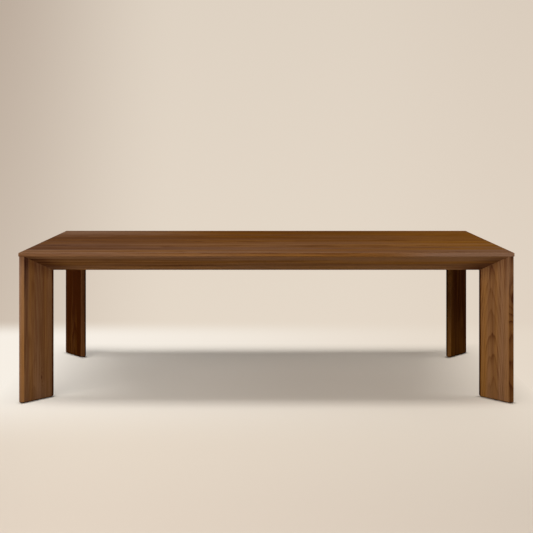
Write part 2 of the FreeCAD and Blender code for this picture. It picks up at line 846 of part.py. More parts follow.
def foot_pad(corner):
    """The nylon pad that stands on the floor, with a socket for the stem's head."""
    body = new_body(f"foot_pad_{corner[0]}")
    profile = new_sketch(body, "profile", "XZ_Plane")
    socket = s.stem_head_diameter / 2 + s.running_clearance
    neck = s.stem_neck_diameter / 2 + s.running_clearance
    socket_top = s.socket_floor + s.stem_head_height + s.running_clearance * 2
    corners = [
        (ZERO, ZERO),
        (s.pad_diameter / 2, ZERO),
        (s.pad_diameter / 2, pad_base),
        (s.pad_hub_diameter / 2, pad_base),
        (s.pad_hub_diameter / 2, pad_top),
        (neck, pad_top),
        (neck, socket_top),
        (socket, socket_top),
        (socket, s.socket_floor),
        (ZERO, s.socket_floor),
    ]
    draw_outline(profile, corners)
    add_turning(body, "Revolution", profile)

    def lower_rim(edge):
        box = edge.BoundBox
        return is_level(edge) and at(box.ZMin, ZERO) and at(box.XMax, s.pad_diameter / 2)

    add_bevel(body, s.pad_bevel, lower_rim)
    place(body, leg_spot(corner, ZERO), corner[3])
    return body


def foot_stem(corner):
    """The threaded stem that turns in the pad and climbs in the leg's insert."""
    body = new_body(f"foot_stem_{corner[0]}")
    profile = new_sketch(body, "profile", "XZ_Plane")
    head_low = s.socket_floor + s.running_clearance
    head_top = head_low + s.stem_head_height
    corners = [
        (ZERO, head_low),
        (s.stem_head_diameter / 2, head_low),
        (s.stem_head_diameter / 2, head_top),
        (s.stem_neck_diameter / 2, head_top),
        (s.stem_neck_diameter / 2, thread_place),
        (s.stem_diameter / 2, thread_place),
        (s.stem_diameter / 2, stem_tip),
        (ZERO, stem_tip),
    ]
    draw_outline(profile, corners)
    add_turning(body, "Revolution", profile)
    collar = new_sketch(body, "collar", "XY_Plane", collar_place)
    radius = s.collar_width * HEXAGON_REACH
    angles = [math.pi / 3 * i for i in range(6)]
    draw_outline(collar, [(radius * math.cos(a), radius * math.sin(a)) for a in angles])
    add_pad(body, collar, s.collar_height)
    place(body, leg_spot(corner, ZERO), corner[3])
    return body


# Assembly


def build():
    """Makes every piece and returns them in order."""
    pieces = [top_board(number + 1) for number in range(int(s.board_count.number))]
    for name, length, side_x, side_y, turn, count in APRONS:
        pieces.append(apron(name, length, side_x, side_y, turn))
        pieces.append(glue_blocks(name, length, side_x, side_y, turn, count))
    for corner in CORNERS:
        pieces += [leg(corner), corner_block(corner), foot_pad(corner), foot_stem(corner)]
    for side, name in enumerate(RAIL_NAMES, start=-1):
        pieces.append(cross_rail(name, side))
    pieces += [rail_screws(), corner_block_screws(), *leg_hardware(), foot_inserts()]
    return pieces


def check(pieces):
    """Stops the build if anything in the document failed or came out invalid."""
    for item in doc.Objects:
        if "Invalid" in item.State or "Error" in item.State:
            raise RuntimeError(f"{item.Name} failed: {item.State}")
    for piece in pieces:
        if piece.Shape.isNull() or not piece.Shape.isValid():
            raise RuntimeError(f"{piece.Label} has no valid shape")


def write(pieces):
    """Writes each piece to its own STEP file."""
    os.makedirs("parts", exist_ok=True)
    for piece in pieces:
        piece.Shape.exportStep(f"parts/{piece.Label}.step")


parts = build()
doc.recompute()
check(parts)
write(parts)
print(f"{len(parts)} nodes, {sum(len(part.Shape.Solids) for part in parts)} solids")
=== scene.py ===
"""Finishes, fasteners, light and camera for a long walnut dining table."""

import math
from functools import partial

import bpy
from mathutils import Matrix, Vector


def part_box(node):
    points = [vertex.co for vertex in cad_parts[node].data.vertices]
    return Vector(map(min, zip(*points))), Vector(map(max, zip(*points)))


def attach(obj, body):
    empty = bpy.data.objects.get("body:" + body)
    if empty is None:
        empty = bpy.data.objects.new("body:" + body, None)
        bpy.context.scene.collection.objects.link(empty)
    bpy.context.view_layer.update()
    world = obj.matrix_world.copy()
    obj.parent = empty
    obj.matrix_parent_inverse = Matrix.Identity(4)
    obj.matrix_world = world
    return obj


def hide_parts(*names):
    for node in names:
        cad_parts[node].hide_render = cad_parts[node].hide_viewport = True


bl_info = {
    "name": "Walnut Dining Table",
    "version": (1, 0, 0),
    "blender": (4, 5, 0),
    "location": "3D View > Sidebar > Dining Table",
    "description": "Dresses a dining table in walnut, adds its fasteners and sets up a studio",
    "category": "Object",
}

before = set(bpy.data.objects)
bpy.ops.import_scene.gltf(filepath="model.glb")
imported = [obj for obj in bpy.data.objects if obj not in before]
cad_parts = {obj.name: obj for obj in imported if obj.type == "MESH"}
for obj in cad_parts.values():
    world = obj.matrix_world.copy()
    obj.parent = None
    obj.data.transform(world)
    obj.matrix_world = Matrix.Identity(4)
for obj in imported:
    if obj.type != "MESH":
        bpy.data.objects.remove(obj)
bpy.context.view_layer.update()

CORNERS = ("front_left", "front_right", "back_right", "back_left")
ALONG_X = Vector((1, 0, 0))
ALONG_Y = Vector((0, 1, 0))
ALONG_Z = Vector((0, 0, 1))


# Settings


class WalnutSettings(bpy.types.PropertyGroup):
    """The show wood of the top, aprons and legs."""

    light: bpy.props.FloatVectorProperty(
        name="Light wood",
        description="Early wood between the rings",
        default=(0.270, 0.134, 0.053),
        subtype="COLOR",
        min=0,
        max=1,
    )
    middle: bpy.props.FloatVectorProperty(
        name="Middle wood",
        description="Most of the wood",
        default=(0.162, 0.070, 0.025),
        subtype="COLOR",
        min=0,
        max=1,
    )
    dark: bpy.props.FloatVectorProperty(
        name="Dark wood",
        description="Late wood, streaks and knots",
        default=(0.050, 0.0132, 0.0043),
        subtype="COLOR",
        min=0,
        max=1,
    )
    ring_width: bpy.props.FloatProperty(
        name="Ring width",
        description="One year's growth",
        default=0.0065,
        subtype="DISTANCE",
        unit="LENGTH",
    )
    roughness: bpy.props.FloatProperty(
        name="Roughness",
        description="Gloss of the oiled surface",
        default=0.5,
        subtype="FACTOR",
        min=0,
        max=1,
    )


class FrameWoodSettings(bpy.types.PropertyGroup):
    """The plain wood of the rails and blocks under the top."""

    light: bpy.props.FloatVectorProperty(
        name="Light wood",
        description="Early wood between the rings",
        default=(0.560, 0.390, 0.225),
        subtype="COLOR",
        min=0,
        max=1,
    )
    middle: bpy.props.FloatVectorProperty(
        name="Middle wood",
        description="Most of the wood",
        default=(0.450, 0.290, 0.150),
        subtype="COLOR",
        min=0,
        max=1,
    )
    dark: bpy.props.FloatVectorProperty(
        name="Dark wood",
        description="Late wood and rays",
        default=(0.290, 0.165, 0.078),
        subtype="COLOR",
        min=0,
        max=1,
    )
    ring_width: bpy.props.FloatProperty(
        name="Ring width",
        description="One year's growth",
        default=0.0035,
        subtype="DISTANCE",
        unit="LENGTH",
    )
    roughness: bpy.props.FloatProperty(
        name="Roughness",
        description="Gloss of the bare sanded wood",
        default=0.66,
        subtype="FACTOR",
        min=0,
        max=1,
    )


class MetalSettings(bpy.types.PropertyGroup):
    """Plated and turned metal, and the nylon of the feet."""

    zinc: bpy.props.FloatVectorProperty(
        name="Zinc",
        description="Bright zinc on bolts, washers and foot stems",
        default=(0.560, 0.580, 0.600),
        subtype="COLOR",
        min=0,
        max=1,
    )
    yellow_zinc: bpy.props.FloatVectorProperty(
        name="Yellow zinc",
        description="Yellow zinc on the wood screws",
        default=(0.610, 0.440, 0.170),
        subtype="COLOR",
        min=0,
        max=1,
    )
    brass: bpy.props.FloatVectorProperty(
        name="Brass",
        description="Threaded inserts",
        default=(0.640, 0.420, 0.150),
        subtype="COLOR",
        min=0,
        max=1,
    )
    nylon: bpy.props.FloatVectorProperty(
        name="Nylon",
        description="Foot pads",
        default=(0.018, 0.017, 0.016),
        subtype="COLOR",
        min=0,
        max=1,
    )


class FastenerSettings(bpy.types.PropertyGroup):
    """Threads and drives of the bolts, screws and stems."""

    bolt_pitch: bpy.props.FloatProperty(
        name="Bolt pitch",
        description="Leg bolt and foot stem, one turn",
        default=0.00125,
        subtype="DISTANCE",
        unit="LENGTH",
    )
    screw_pitch: bpy.props.FloatProperty(
        name="Screw pitch",
        description="Wood screw, one turn",
        default=0.0024,
        subtype="DISTANCE",
        unit="LENGTH",
    )
    sides: bpy.props.IntProperty(
        name="Sides",
        description="Points round a fastener",
        default=36,
        min=12,
    )
    drive_radius: bpy.props.FloatProperty(
        name="Drive",
        description="Six-lobed recess in a screw's head, on the radius",
        default=0.0019,
        subtype="DISTANCE",
        unit="LENGTH",
    )


class StudioSettings(bpy.types.PropertyGroup):
    """Floor, wall, lamps and camera."""

    floor_colour: bpy.props.FloatVectorProperty(
        name="Floor",
        description="Floor under and round the table",
        default=(0.780, 0.683, 0.573),
        subtype="COLOR",
        min=0,
        max=1,
    )
    # Painted pool of light on the floor beside the table
    light_pool_colour: bpy.props.FloatVectorProperty(
        name="Bright floor",
        description="Floor beside the table, to the left",
        default=(0.930, 0.866, 0.780),
        subtype="COLOR",
        min=0,
        max=1,
    )
    # Painted falloff of light: the floor darker towards the camera
    near_falloff_colour: bpy.props.FloatVectorProperty(
        name="Near floor",
        description="Floor towards the camera",
        default=(0.635, 0.543, 0.455),
        subtype="COLOR",
        min=0,
        max=1,
    )
    bounce_colour: bpy.props.FloatVectorProperty(
        name="Floor bounce",
        description="What the floor gives back to the table",
        default=(0.580, 0.530, 0.465),
        subtype="COLOR",
        min=0,
        max=1,
    )
    bounce_beneath: bpy.props.FloatVectorProperty(
        name="Floor bounce, beneath",
        description="What the floor under the table gives back to it",
        default=(0.250, 0.225, 0.195),
        subtype="COLOR",
        min=0,
        max=1,
    )
    wall_colour: bpy.props.FloatVectorProperty(
        name="Wall",
        description="Wall behind the table",
        default=(0.783, 0.687, 0.578),
        subtype="COLOR",
        min=0,
        max=1,
    )
    wall_left: bpy.props.FloatVectorProperty(
        name="Wall, left",
        description="Wall where it falls into shade",
        default=(0.540, 0.446, 0.365),
        subtype="COLOR",
        min=0,
        max=1,
    )
    wall_right: bpy.props.FloatVectorProperty(
        name="Wall, right",
        description="Wall past the table's right end",
        default=(0.752, 0.652, 0.546),
        subtype="COLOR",
        min=0,
        max=1,
    )
    ambient: bpy.props.FloatProperty(
        name="Ambient",
        description="Light from overhead and all round above the horizon",
        default=0.24,
        min=0,
    )
    softbox: bpy.props.FloatProperty(
        name="Softbox",
        description="Long lamp over the table",
        default=590.0,
        subtype="POWER",
        unit="POWER",
        min=0,
    )
    key: bpy.props.FloatProperty(
        name="Key",
        description="Large lamp in front and to the left",
        default=310.0,
        subtype="POWER",
        unit="POWER",
        min=0,
    )
    key_colour: bpy.props.FloatVectorProperty(
        name="Key colour",
        description="Slightly warm light of the key",
        default=(1.0, 0.95, 0.90),
        subtype="COLOR",
        min=0,
        max=1,
    )
    lens: bpy.props.FloatProperty(
        name="Lens",
        description="Focal length on a 36 mm sensor",
        default=63.49,
        subtype="DISTANCE_CAMERA",
        unit="CAMERA",
    )
    eye: bpy.props.FloatVectorProperty(
        name="Eye",
        description="Where the camera stands",
        default=(-0.010, -5.180, 1.300),
        subtype="TRANSLATION",
        unit="LENGTH",
    )
    shift: bpy.props.FloatVectorProperty(
        name="Shift",
        description="Lens shift that keeps the legs upright in the frame",
        default=(0.004, -0.2385),
        size=2,
    )


def settings(name):
    """One of the table's groups of settings."""
    return getattr(bpy.context.scene, f"dining_table_{name}")


# Node helpers


def add(tree, kind, inputs=None, **options):
    """A node with its options and its inputs, each a value or another node's output."""
    item = tree.nodes.new(kind)
    for name, value in options.items():
        setattr(item, name, value)
    for name, value in (inputs or {}).items():
        feed(tree, item.inputs[name], value)
    return item


def feed(tree, socket, value):
    """Links an output to a socket, or sets the socket's own value."""
    if isinstance(value, bpy.types.NodeSocket):
        tree.links.new(value, socket)
        return
    if socket.type == "RGBA" and len(value) == 3:
        value = (*value, 1)
    socket.default_value = value


def calc(tree, operation, *values, clamp=False):
    """The output of a Math node."""
    inputs = dict(enumerate(values))
    return add(tree, "ShaderNodeMath", inputs, operation=operation, use_clamp=clamp).outputs[0]


def vector_calc(tree, operation, *values, output=0):
    """An output of a Vector Math node: 0 for its vector, "Value" for its number."""
    inputs = dict(enumerate(values))
    return add(tree, "ShaderNodeVectorMath", inputs, operation=operation).outputs[output]


def axes_of(tree, vector):
    """The X, Y and Z of a vector."""
    return add(tree, "ShaderNodeSeparateXYZ", {0: vector}).outputs


def object_place(tree):
    """Object coordinates, which are the table's own metres."""
    return tree.nodes.new("ShaderNodeTexCoord").outputs["Object"]


def noise(tree, vector, scale, detail=2.0, roughness=0.5, output="Fac"):
    """A noise from 0 to 1, with its own scale along each axis."""
    stretched = vector_calc(tree, "MULTIPLY", vector, scale)
    inputs = {"Vector": stretched, "Scale": 1.0, "Detail": detail, "Roughness": roughness}
    return add(tree, "ShaderNodeTexNoise", inputs).outputs[output]


def spread(tree, value, low, high, new_low=0.0, new_high=1.0, smooth=True):
    """A value mapped from one range to another, and held at its ends."""
    inputs = {
        "Value": value,
        "From Min": low,
        "From Max": high,
        "To Min": new_low,
        "To Max": new_high,
    }
    kind = "SMOOTHSTEP" if smooth else "LINEAR"
    return add(tree, "ShaderNodeMapRange", inputs, interpolation_type=kind).outputs["Result"]


def fade(tree, value, low, high):
    """1 below a range of values, 0 above it."""
    return spread(tree, value, low, high, 1.0, 0.0)


def unsigned(tree, value):
    """A value without its minus sign."""
    return calc(tree, "ABSOLUTE", value)


def apart(tree, value, place):
    """How far a value is from a place on either side of it."""
    return unsigned(tree, calc(tree, "SUBTRACT", value, place))


def overlap(tree, mask, *others):
    """Where several masks overlap."""
    for other in others:
        mask = calc(tree, "MULTIPLY", mask, other)
    return mask


def mixed(tree, share, first, second, blend="MIX"):
    """Two colours mixed by a share."""
    item = add(tree, "ShaderNodeMix", data_type="RGBA", blend_type=blend)
    feed(tree, item.inputs["Factor"], share)
    feed(tree, item.inputs[6], first)
    feed(tree, item.inputs[7], second)
    return item.outputs[2]


def tinted(tree, colour, tint):
    """A colour times a tint."""
    return mixed(tree, 1.0, colour, tint, "MULTIPLY")


def new_group(name, inputs, outputs):
    """A shader node group with its inputs and outputs, and the nodes that stand for them."""
    tree = bpy.data.node_groups.new(name, "ShaderNodeTree")
    for label, kind, default in inputs:
        socket = tree.interface.new_socket(label, in_out="INPUT", socket_type=f"NodeSocket{kind}")
        if default is not None:
            socket.default_value = default
    for label, kind in outputs:
        tree.interface.new_socket(label, in_out="OUTPUT", socket_type=f"NodeSocket{kind}")
    return tree, tree.nodes.new("NodeGroupInput").outputs, tree.nodes.new("NodeGroupOutput")


def placed_group(tree, name, build, inputs):
    """A shared node group placed with its own values, and built at its first use."""
    group = bpy.data.node_groups.get(name) or build(name)
    item = tree.nodes.new("ShaderNodeGroup")
    item.node_tree = group
    for label, value in inputs.items():
        feed(tree, item.inputs[label], value)
    return item


def new_material(name):
    """An empty node material with its shader."""
    material = bpy.data.materials.new(name)
    material.use_nodes = True
    tree = material.node_tree
    return material, tree, tree.nodes["Principled BSDF"]


# Shared effects, in a log's own coordinates: X along the grain, Y and Z across it

# Most of a noise lies in this range

NOISE_KEPT = (0.3, 0.7)

# A knot is longer along the grain, and bends it over several times its size

KNOT_SHAPE = (0.3, 1, 0)
KNOT_HEART = (0.25, 1.0)
KNOT_REACH = (0.0, 4.0)
KNOT_BEND_YEARS = 2.5
KNOT_DEPTH = 0.45

# Rings wander, differ in width and strength, darken through the year and end sharply

WANDER_SCALE = (1.3, 6.0, 6.0)
UNEVEN_SCALE = (2.0, 30.0, 30.0)
UNEVEN_YEARS = 1.6
RING_RISE = 3.2
RING_END = (0.86, 1.0)
RING_LEAST = 0.45
RING_RANGE = 0.7

# Fibre: scale along and across, detail and roughness of the noise, and the range kept

FIBRE = {
    "broad": ((0.6, 24.0, 24.0), 2.0, 0.50, (0.30, 0.70)),
    "narrow": ((1.4, 95.0, 95.0), 3.0, 0.55, (0.28, 0.72)),
    "streaks": ((6.0, 460.0, 460.0), 3.0, 0.60, (0.25, 0.75)),
    "pores": ((70.0, 2400.0, 2400.0), 1.0, 0.50, (0.64, 0.74)),
}

# Colour runs with depth from light through middle to dark, and is warmer in places

MIDDLE_DEPTH = 0.36
WARMTH_SCALE = (0.9, 19.0, 19.0)
WARM_TINT = (1.06, 0.91, 0.36)
COOL_TINT = (0.94, 1.06, 1.62)
PORE_SHADE = 0.5

# What streaks, pores and rings add to roughness and height

STREAK_ROUGHNESS = 0.10
PORE_ROUGHNESS = 0.15
STREAK_HEIGHT = 0.35
RING_HEIGHT = 0.15
PORE_HEIGHT = 0.8


def build_knot(name):
    """A knot at a spot: its dark heart, and how far it bends the grain round it."""
    inputs = [("Place", "Vector", None), ("Spot", "Vector", None), ("Size", "Float", 0.01)]
    tree, given, result = new_group(name, inputs, [("Heart", "Float"), ("Bend", "Float")])
    way = vector_calc(tree, "SUBTRACT", given["Place"], given["Spot"])
    way = vector_calc(tree, "MULTIPLY", way, KNOT_SHAPE)
    distance = vector_calc(tree, "LENGTH", way, output="Value")
    share = calc(tree, "DIVIDE", distance, given["Size"])
    feed(tree, result.inputs["Heart"], fade(tree, share, *KNOT_HEART))
    feed(tree, result.inputs["Bend"], fade(tree, share, *KNOT_REACH))
    return tree


def build_rings(name):
    """Growth rings round a pith that runs along X, as cones that wander."""
    inputs = [
        ("Place", "Vector", None),
        ("Bend", "Float", 0.0),
        ("Ring Width", "Float", 0.006),
        ("Taper", "Float", 0.02),
        ("Wander", "Float", 0.02),
    ]
    tree, given, result = new_group(name, inputs, [("Rings", "Float")])
    drift = noise(tree, given["Place"], WANDER_SCALE, output="Color")
    drift = vector_calc(tree, "SUBTRACT", drift, (0.5, 0.5, 0.5))
    drift = vector_calc(tree, "MULTIPLY", drift, given["Wander"])
    bent = vector_calc(tree, "ADD", given["Place"], drift)
    across = vector_calc(tree, "MULTIPLY", bent, (0, 1, 1))
    across = vector_calc(tree, "LENGTH", across, output="Value")
    along = axes_of(tree, given["Place"])["X"]
    distance = calc(tree, "MULTIPLY_ADD", along, given["Taper"], across)
    years = calc(tree, "DIVIDE", distance, given["Ring Width"])
    years = calc(tree, "MULTIPLY_ADD", given["Bend"], KNOT_BEND_YEARS, years)
    uneven = noise(tree, bent, UNEVEN_SCALE, detail=1.0)
    years = calc(tree, "MULTIPLY_ADD", uneven, UNEVEN_YEARS, years)
    year = calc(tree, "FRACT", years)
    ring = overlap(tree, calc(tree, "POWER", year, RING_RISE), fade(tree, year, *RING_END))
    number = {"W": calc(tree, "FLOOR", years)}
    chance = add(tree, "ShaderNodeTexWhiteNoise", number, noise_dimensions="1D")
    strength = calc(tree, "MULTIPLY_ADD", chance.outputs["Value"], RING_RANGE, RING_LEAST)
    feed(tree, result.inputs["Rings"], calc(tree, "MULTIPLY", ring, strength, clamp=True))
    return tree


def build_fibre(name):
    """Fibre along X: broad and narrow bands, fine streaks and short open pores."""
    outputs = [("Bands", "Float"), ("Streaks", "Float"), ("Pores", "Float")]
    tree, given, result = new_group(name, [("Place", "Vector", None)], outputs)
    found = {}
    for kind, (scale, detail, roughness, kept) in FIBRE.items():
        found[kind] = spread(tree, noise(tree, given["Place"], scale, detail, roughness), *kept)
    bands = calc(tree, "ADD", found["broad"], found["narrow"])
    feed(tree, result.inputs["Bands"], calc(tree, "MULTIPLY", bands, 0.5))
    feed(tree, result.inputs["Streaks"], found["streaks"])
    feed(tree, result.inputs["Pores"], found["pores"])
    return tree


def build_wood(name):
    """Wood cut from a log along X: rings, bands, fibre and pores in three colours."""
    inputs = [
        ("Place", "Vector", None),
        ("Light", "Color", None),
        ("Middle", "Color", None),
        ("Dark", "Color", None),
        ("Ring Width", "Float", 0.006),
        ("Taper", "Float", 0.02),
        ("Wander", "Float", 0.02),
        ("Ring Share", "Float", 0.5),
        ("Band Share", "Float", 0.55),
        ("Streak Share", "Float", 0.28),
        ("Tone", "Float", 0.0),
        ("Warmth", "Float", 0.0),
        ("Warmth Share", "Float", 0.6),
        ("Knot Spot", "Vector", None),
        ("Knot Size", "Float", 0.001),
        ("Roughness", "Float", 0.5),
    ]
    outputs = [("Colour", "Color"), ("Roughness", "Float"), ("Height", "Float")]
    tree, given, result = new_group(name, inputs, outputs)
    place = {"Place": given["Place"]}
    spot = {**place, "Spot": given["Knot Spot"], "Size": given["Knot Size"]}
    knot = placed_group(tree, "wood_knot", build_knot, spot).outputs
    growth = {key: given[key] for key in ("Place", "Ring Width", "Taper", "Wander")}
    growth["Bend"] = knot["Bend"]
    rings = placed_group(tree, "growth_rings", build_rings, growth).outputs["Rings"]
    fibre = placed_group(tree, "wood_fibre", build_fibre, place).outputs

    depth = calc(tree, "MULTIPLY", rings, given["Ring Share"])
    for kind, share in (("Bands", "Band Share"), ("Streaks", "Streak Share")):
        centred = calc(tree, "SUBTRACT", fibre[kind], 0.5)
        depth = calc(tree, "MULTIPLY_ADD", centred, given[share], depth)
    depth = calc(tree, "ADD", depth, given["Tone"])
    depth = calc(tree, "ADD", depth, MIDDLE_DEPTH)
    depth = calc(tree, "MULTIPLY_ADD", knot["Heart"], KNOT_DEPTH, depth)
    lighter_half = spread(tree, depth, 0.0, 0.5, smooth=False)
    darker_half = spread(tree, depth, 0.5, 1.0, smooth=False)
    colour = mixed(tree, lighter_half, given["Light"], given["Middle"])
    colour = mixed(tree, darker_half, colour, given["Dark"])

    warmth = spread(tree, noise(tree, given["Place"], WARMTH_SCALE), *NOISE_KEPT)
    warmth = calc(tree, "SUBTRACT", warmth, 0.5)
    warmth = calc(tree, "MULTIPLY_ADD", warmth, given["Warmth Share"], 0.5)
    warmth = calc(tree, "MULTIPLY_ADD", given["Warmth"], 0.5, warmth, clamp=True)
    cool = tinted(tree, colour, COOL_TINT)
    colour = mixed(tree, warmth, cool, tinted(tree, colour, WARM_TINT))
    pore = calc(tree, "MULTIPLY", fibre["Pores"], PORE_SHADE)
    feed(tree, result.inputs["Colour"], mixed(tree, pore, colour, given["Dark"]))

    rough = calc(tree, "MULTIPLY_ADD", fibre["Streaks"], STREAK_ROUGHNESS, given["Roughness"])
    rough = calc(tree, "MULTIPLY_ADD", fibre["Pores"], PORE_ROUGHNESS, rough, clamp=True)
    feed(tree, result.inputs["Roughness"], rough)
    height = calc(tree, "MULTIPLY", fibre["Streaks"], STREAK_HEIGHT)
    height = calc(tree, "MULTIPLY_ADD", rings, RING_HEIGHT, height)
    height = calc(tree, "MULTIPLY_ADD", fibre["Pores"], -PORE_HEIGHT, height)
    feed(tree, result.inputs["Height"], height)
    return tree


# Plating is clouded and finely grained, and its clouds are darker and rougher

CLOUD_SCALE = (260.0, 260.0, 260.0)
GRAIN_SCALE = (2600.0, 2600.0, 2600.0)
CLOUD_COLOUR = (0.3, 0.3, 0.3)
CLOUD_SHADE = 0.35
CLOUD_ROUGHNESS = 0.25


def build_plating(name):
    """The clouded, faintly grained skin of plated metal."""
    inputs = [("Place", "Vector", None), ("Colour", "Color", None), ("Roughness", "Float", 0.3)]
    outputs = [("Colour", "Color"), ("Roughness", "Float"), ("Height", "Float")]
    tree, given, result = new_group(name, inputs, outputs)
    cloud = noise(tree, given["Place"], CLOUD_SCALE, detail=3.0)
    shade = spread(tree, cloud, *NOISE_KEPT, 0.0, CLOUD_SHADE)
    feed(tree, result.inputs["Colour"], mixed(tree, shade, given["Colour"], CLOUD_COLOUR))
    rough = calc(tree, "MULTIPLY_ADD", cloud, CLOUD_ROUGHNESS, given["Roughness"])
    feed(tree, result.inputs["Roughness"], rough)
    feed(tree, result.inputs["Height"], noise(tree, given["Place"], GRAIN_SCALE))
    return tree


# Materials

WOOD_SPECULAR = 0.0
WOOD_BUMP = {"Strength": 0.35, "Distance": 0.0003}
METAL_BUMP = {"Strength": 0.2, "Distance": 0.00005}


def grain_place(tree, grain, width, centre, pith):
    """Coordinates along the grain, across the face and through the wood, from the log's pith."""
    through = grain.cross(width)
    turn = Matrix((grain, width, through))
    origin = -(turn @ centre) + Vector(pith)
    mapping = add(tree, "ShaderNodeMapping", {"Vector": object_place(tree)}, vector_type="POINT")
    mapping.inputs["Rotation"].default_value = turn.to_euler("XYZ")
    mapping.inputs["Location"].default_value = origin
    return mapping.outputs["Vector"]


def measured(tree, way, origin):
    """How far a point of the surface lies along a way from an origin."""
    length = vector_calc(tree, "DOT_PRODUCT", object_place(tree), way, output="Value")
    return calc(tree, "SUBTRACT", length, way.dot(origin))


def shifted(tree, value, patches, which):
    """A value moved in each patch by its mask times the patch's shift."""
    for mask, *shifts in patches:
        if shifts[which]:
            value = calc(tree, "MULTIPLY_ADD", mask, shifts[which], value)
    return value


def finish_shader(tree, shader, surface, bump):
    """Links a surface's colour, roughness and height to its shader."""
    feed(tree, shader.inputs["Base Color"], surface["Colour"])
    feed(tree, shader.inputs["Roughness"], surface["Roughness"])
    relief = add(tree, "ShaderNodeBump", {**bump, "Height": surface["Height"]})
    feed(tree, shader.inputs["Normal"], relief.outputs["Normal"])


def wood_material(name, wood, place, cut, patches=None):
    """Wood with its own cut of the log, and patches that make it darker or warmer."""
    material, tree, shader = new_material(name)
    inputs = {
        "Place": grain_place(tree, *place),
        "Light": wood.light,
        "Middle": wood.middle,
        "Dark": wood.dark,
        "Ring Width": wood.ring_width,
        "Roughness": wood.roughness,
        **cut,
    }
    if patches:
        found = patches(tree)
        inputs["Tone"] = shifted(tree, cut["Tone"], found, 0)
        inputs["Warmth"] = shifted(tree, cut["Warmth"], found, 1)
    surface = placed_group(tree, "wood_surface", build_wood, inputs).outputs
    finish_shader(tree, shader, surface, WOOD_BUMP)
    shader.inputs["Specular IOR Level"].default_value = WOOD_SPECULAR
    return material


def plated_material(name, colour, roughness, metallic=1.0):
    """Plated or turned metal, or moulded plastic where it isn't metallic."""
    material, tree, shader = new_material(name)
    inputs = {"Place": object_place(tree), "Colour": colour, "Roughness": roughness}
    surface = placed_group(tree, "plated_skin", build_plating, inputs).outputs
    finish_shader(tree, shader, surface, METAL_BUMP)
    shader.inputs["Metallic"].default_value = metallic
    return material


def dress(name, material):
    """Gives a piece of the frame its finish."""
    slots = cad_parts[name].data.materials
    slots.clear()
    slots.append(material)


def middle_of(name):
    """The middle of a piece of the frame."""
    low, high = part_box(name)
    return (low + high) / 2


# Fastener shapes

LOBE_DEPTH = 0.14
SHARP_ANGLE = math.radians(35)

# Metric thread of the bolts and foot stems

METRIC_RADIUS = 0.004
METRIC_DEPTH = 0.00065

# Rings of points for one turn of a thread, and the least share of its radius at a point

THREAD_STEPS = 4
POINT_SHARE = 0.04


def even_angles(sides):
    """Angles round a circle."""
    return [2 * math.pi * i / sides for i in range(sides)]


def hexagon_reach(flats, angle):
    """How far a hexagon reaches at an angle, its size taken across flats."""
    sixth = math.pi / 3
    return flats / 2 / math.cos(angle % sixth - sixth / 2)


def lobed_reach(radius, angle):
    """How far a six-lobed drive reaches at an angle."""
    return radius * (1 + LOBE_DEPTH * math.cos(6 * angle))


def rings_of(profile, angles):
    """A ring of points for each reach and height, which are numbers or depend on the angle."""
    rings = []
    for reach, height in profile:
        ring = []
        for angle in angles:
            out = reach(angle) if callable(reach) else reach
            up = height(angle) if callable(height) else height
            ring.append((out * math.cos(angle), out * math.sin(angle), up))
        rings.append(ring)
    return rings


def thread_reach(radius, depth, turns, left, angle):
    """How far a thread reaches at an angle, some turns up and with a share of its size left."""
    wave = abs(2 * ((turns - angle / (2 * math.pi)) % 1.0) - 1)
    return max((radius - depth * wave) * left, radius * POINT_SHARE)


def thread_rings(radius, depth, pitch, low, high, angles, taper=0.0):
    """Rings of a screw thread from one height to another, run out at its end over the taper."""
    steps = max(2, round((high - low) / pitch * THREAD_STEPS))
    profile = []
    for step in range(steps + 1):
        height = low + (high - low) * step / steps
        left = min(1.0, (high - height) / taper) if taper else 1.0
        profile.append((partial(thread_reach, radius, depth, height / pitch, left), height))
    return rings_of(profile, angles)


def metric_rings(pitch, low, high, tip, angles):
    """Rings of a metric thread with a bevelled tip."""
    rings = thread_rings(METRIC_RADIUS, METRIC_DEPTH, pitch, low, high - tip, angles)
    return rings + rings_of([(METRIC_RADIUS - METRIC_DEPTH - tip / 2, high)], angles)


def skin(rings, sides):
    """Vertices and faces of a body made of rings from one end to the other, closed at both."""
    points = [point for ring in rings for point in ring]
    faces = []
    for row in range(len(rings) - 1):
        for i in range(sides):
            j = (i + 1) % sides
            low = row * sides
            high = low + sides
            faces.append((low + i, low + j, high + j, high + i))
    faces.append(tuple(reversed(range(sides))))
    last = (len(rings) - 1) * sides
    faces.append(tuple(range(last, last + sides)))
    return points, faces


def copies_of(shape, spots):
    """One mesh's vertices and faces at several spots."""
    points, faces = shape
    all_points = []
    all_faces = []
    for spot in spots:
        first = len(all_points)
        all_points += [spot @ Vector(point) for point in points]
        all_faces += [tuple(first + i for i in face) for face in faces]
    return all_points, all_faces


def make_piece(name, shape, material, body, slot, *nodes):
    """A piece of the table in place of the frame's plain nodes."""
    points, faces = shape
    mesh = bpy.data.meshes.new(name)
    mesh.from_pydata(points, [], faces)
    mesh.validate()
    mesh.shade_smooth()
    mesh.set_sharp_from_angle(angle=SHARP_ANGLE)
    mesh.materials.append(material)
    piece = bpy.data.objects.new(name, mesh)
    bpy.context.scene.collection.objects.link(piece)
    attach(piece, body)
    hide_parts(*nodes)


# Where fasteners are, read from the solids of the frame


def solids_of(name):
    """The vertices of each separate solid in a node."""
    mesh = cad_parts[name].data
    parent = list(range(len(mesh.vertices)))

    def root(i):
        while parent[i] != i:
            parent[i] = parent[parent[i]]
            i = parent[i]
        return i

    for edge in mesh.edges:
        first, second = (root(i) for i in edge.vertices)
        parent[first] = second
    places = {}
    for vertex in mesh.vertices:
        key = tuple(round(value, 6) for value in vertex.co)
        found = places.setdefault(key, vertex.index)
        parent[root(vertex.index)] = root(found)
    solids = {}
    for vertex in mesh.vertices:
        solids.setdefault(root(vertex.index), []).append(vertex.co.copy())
    return list(solids.values())


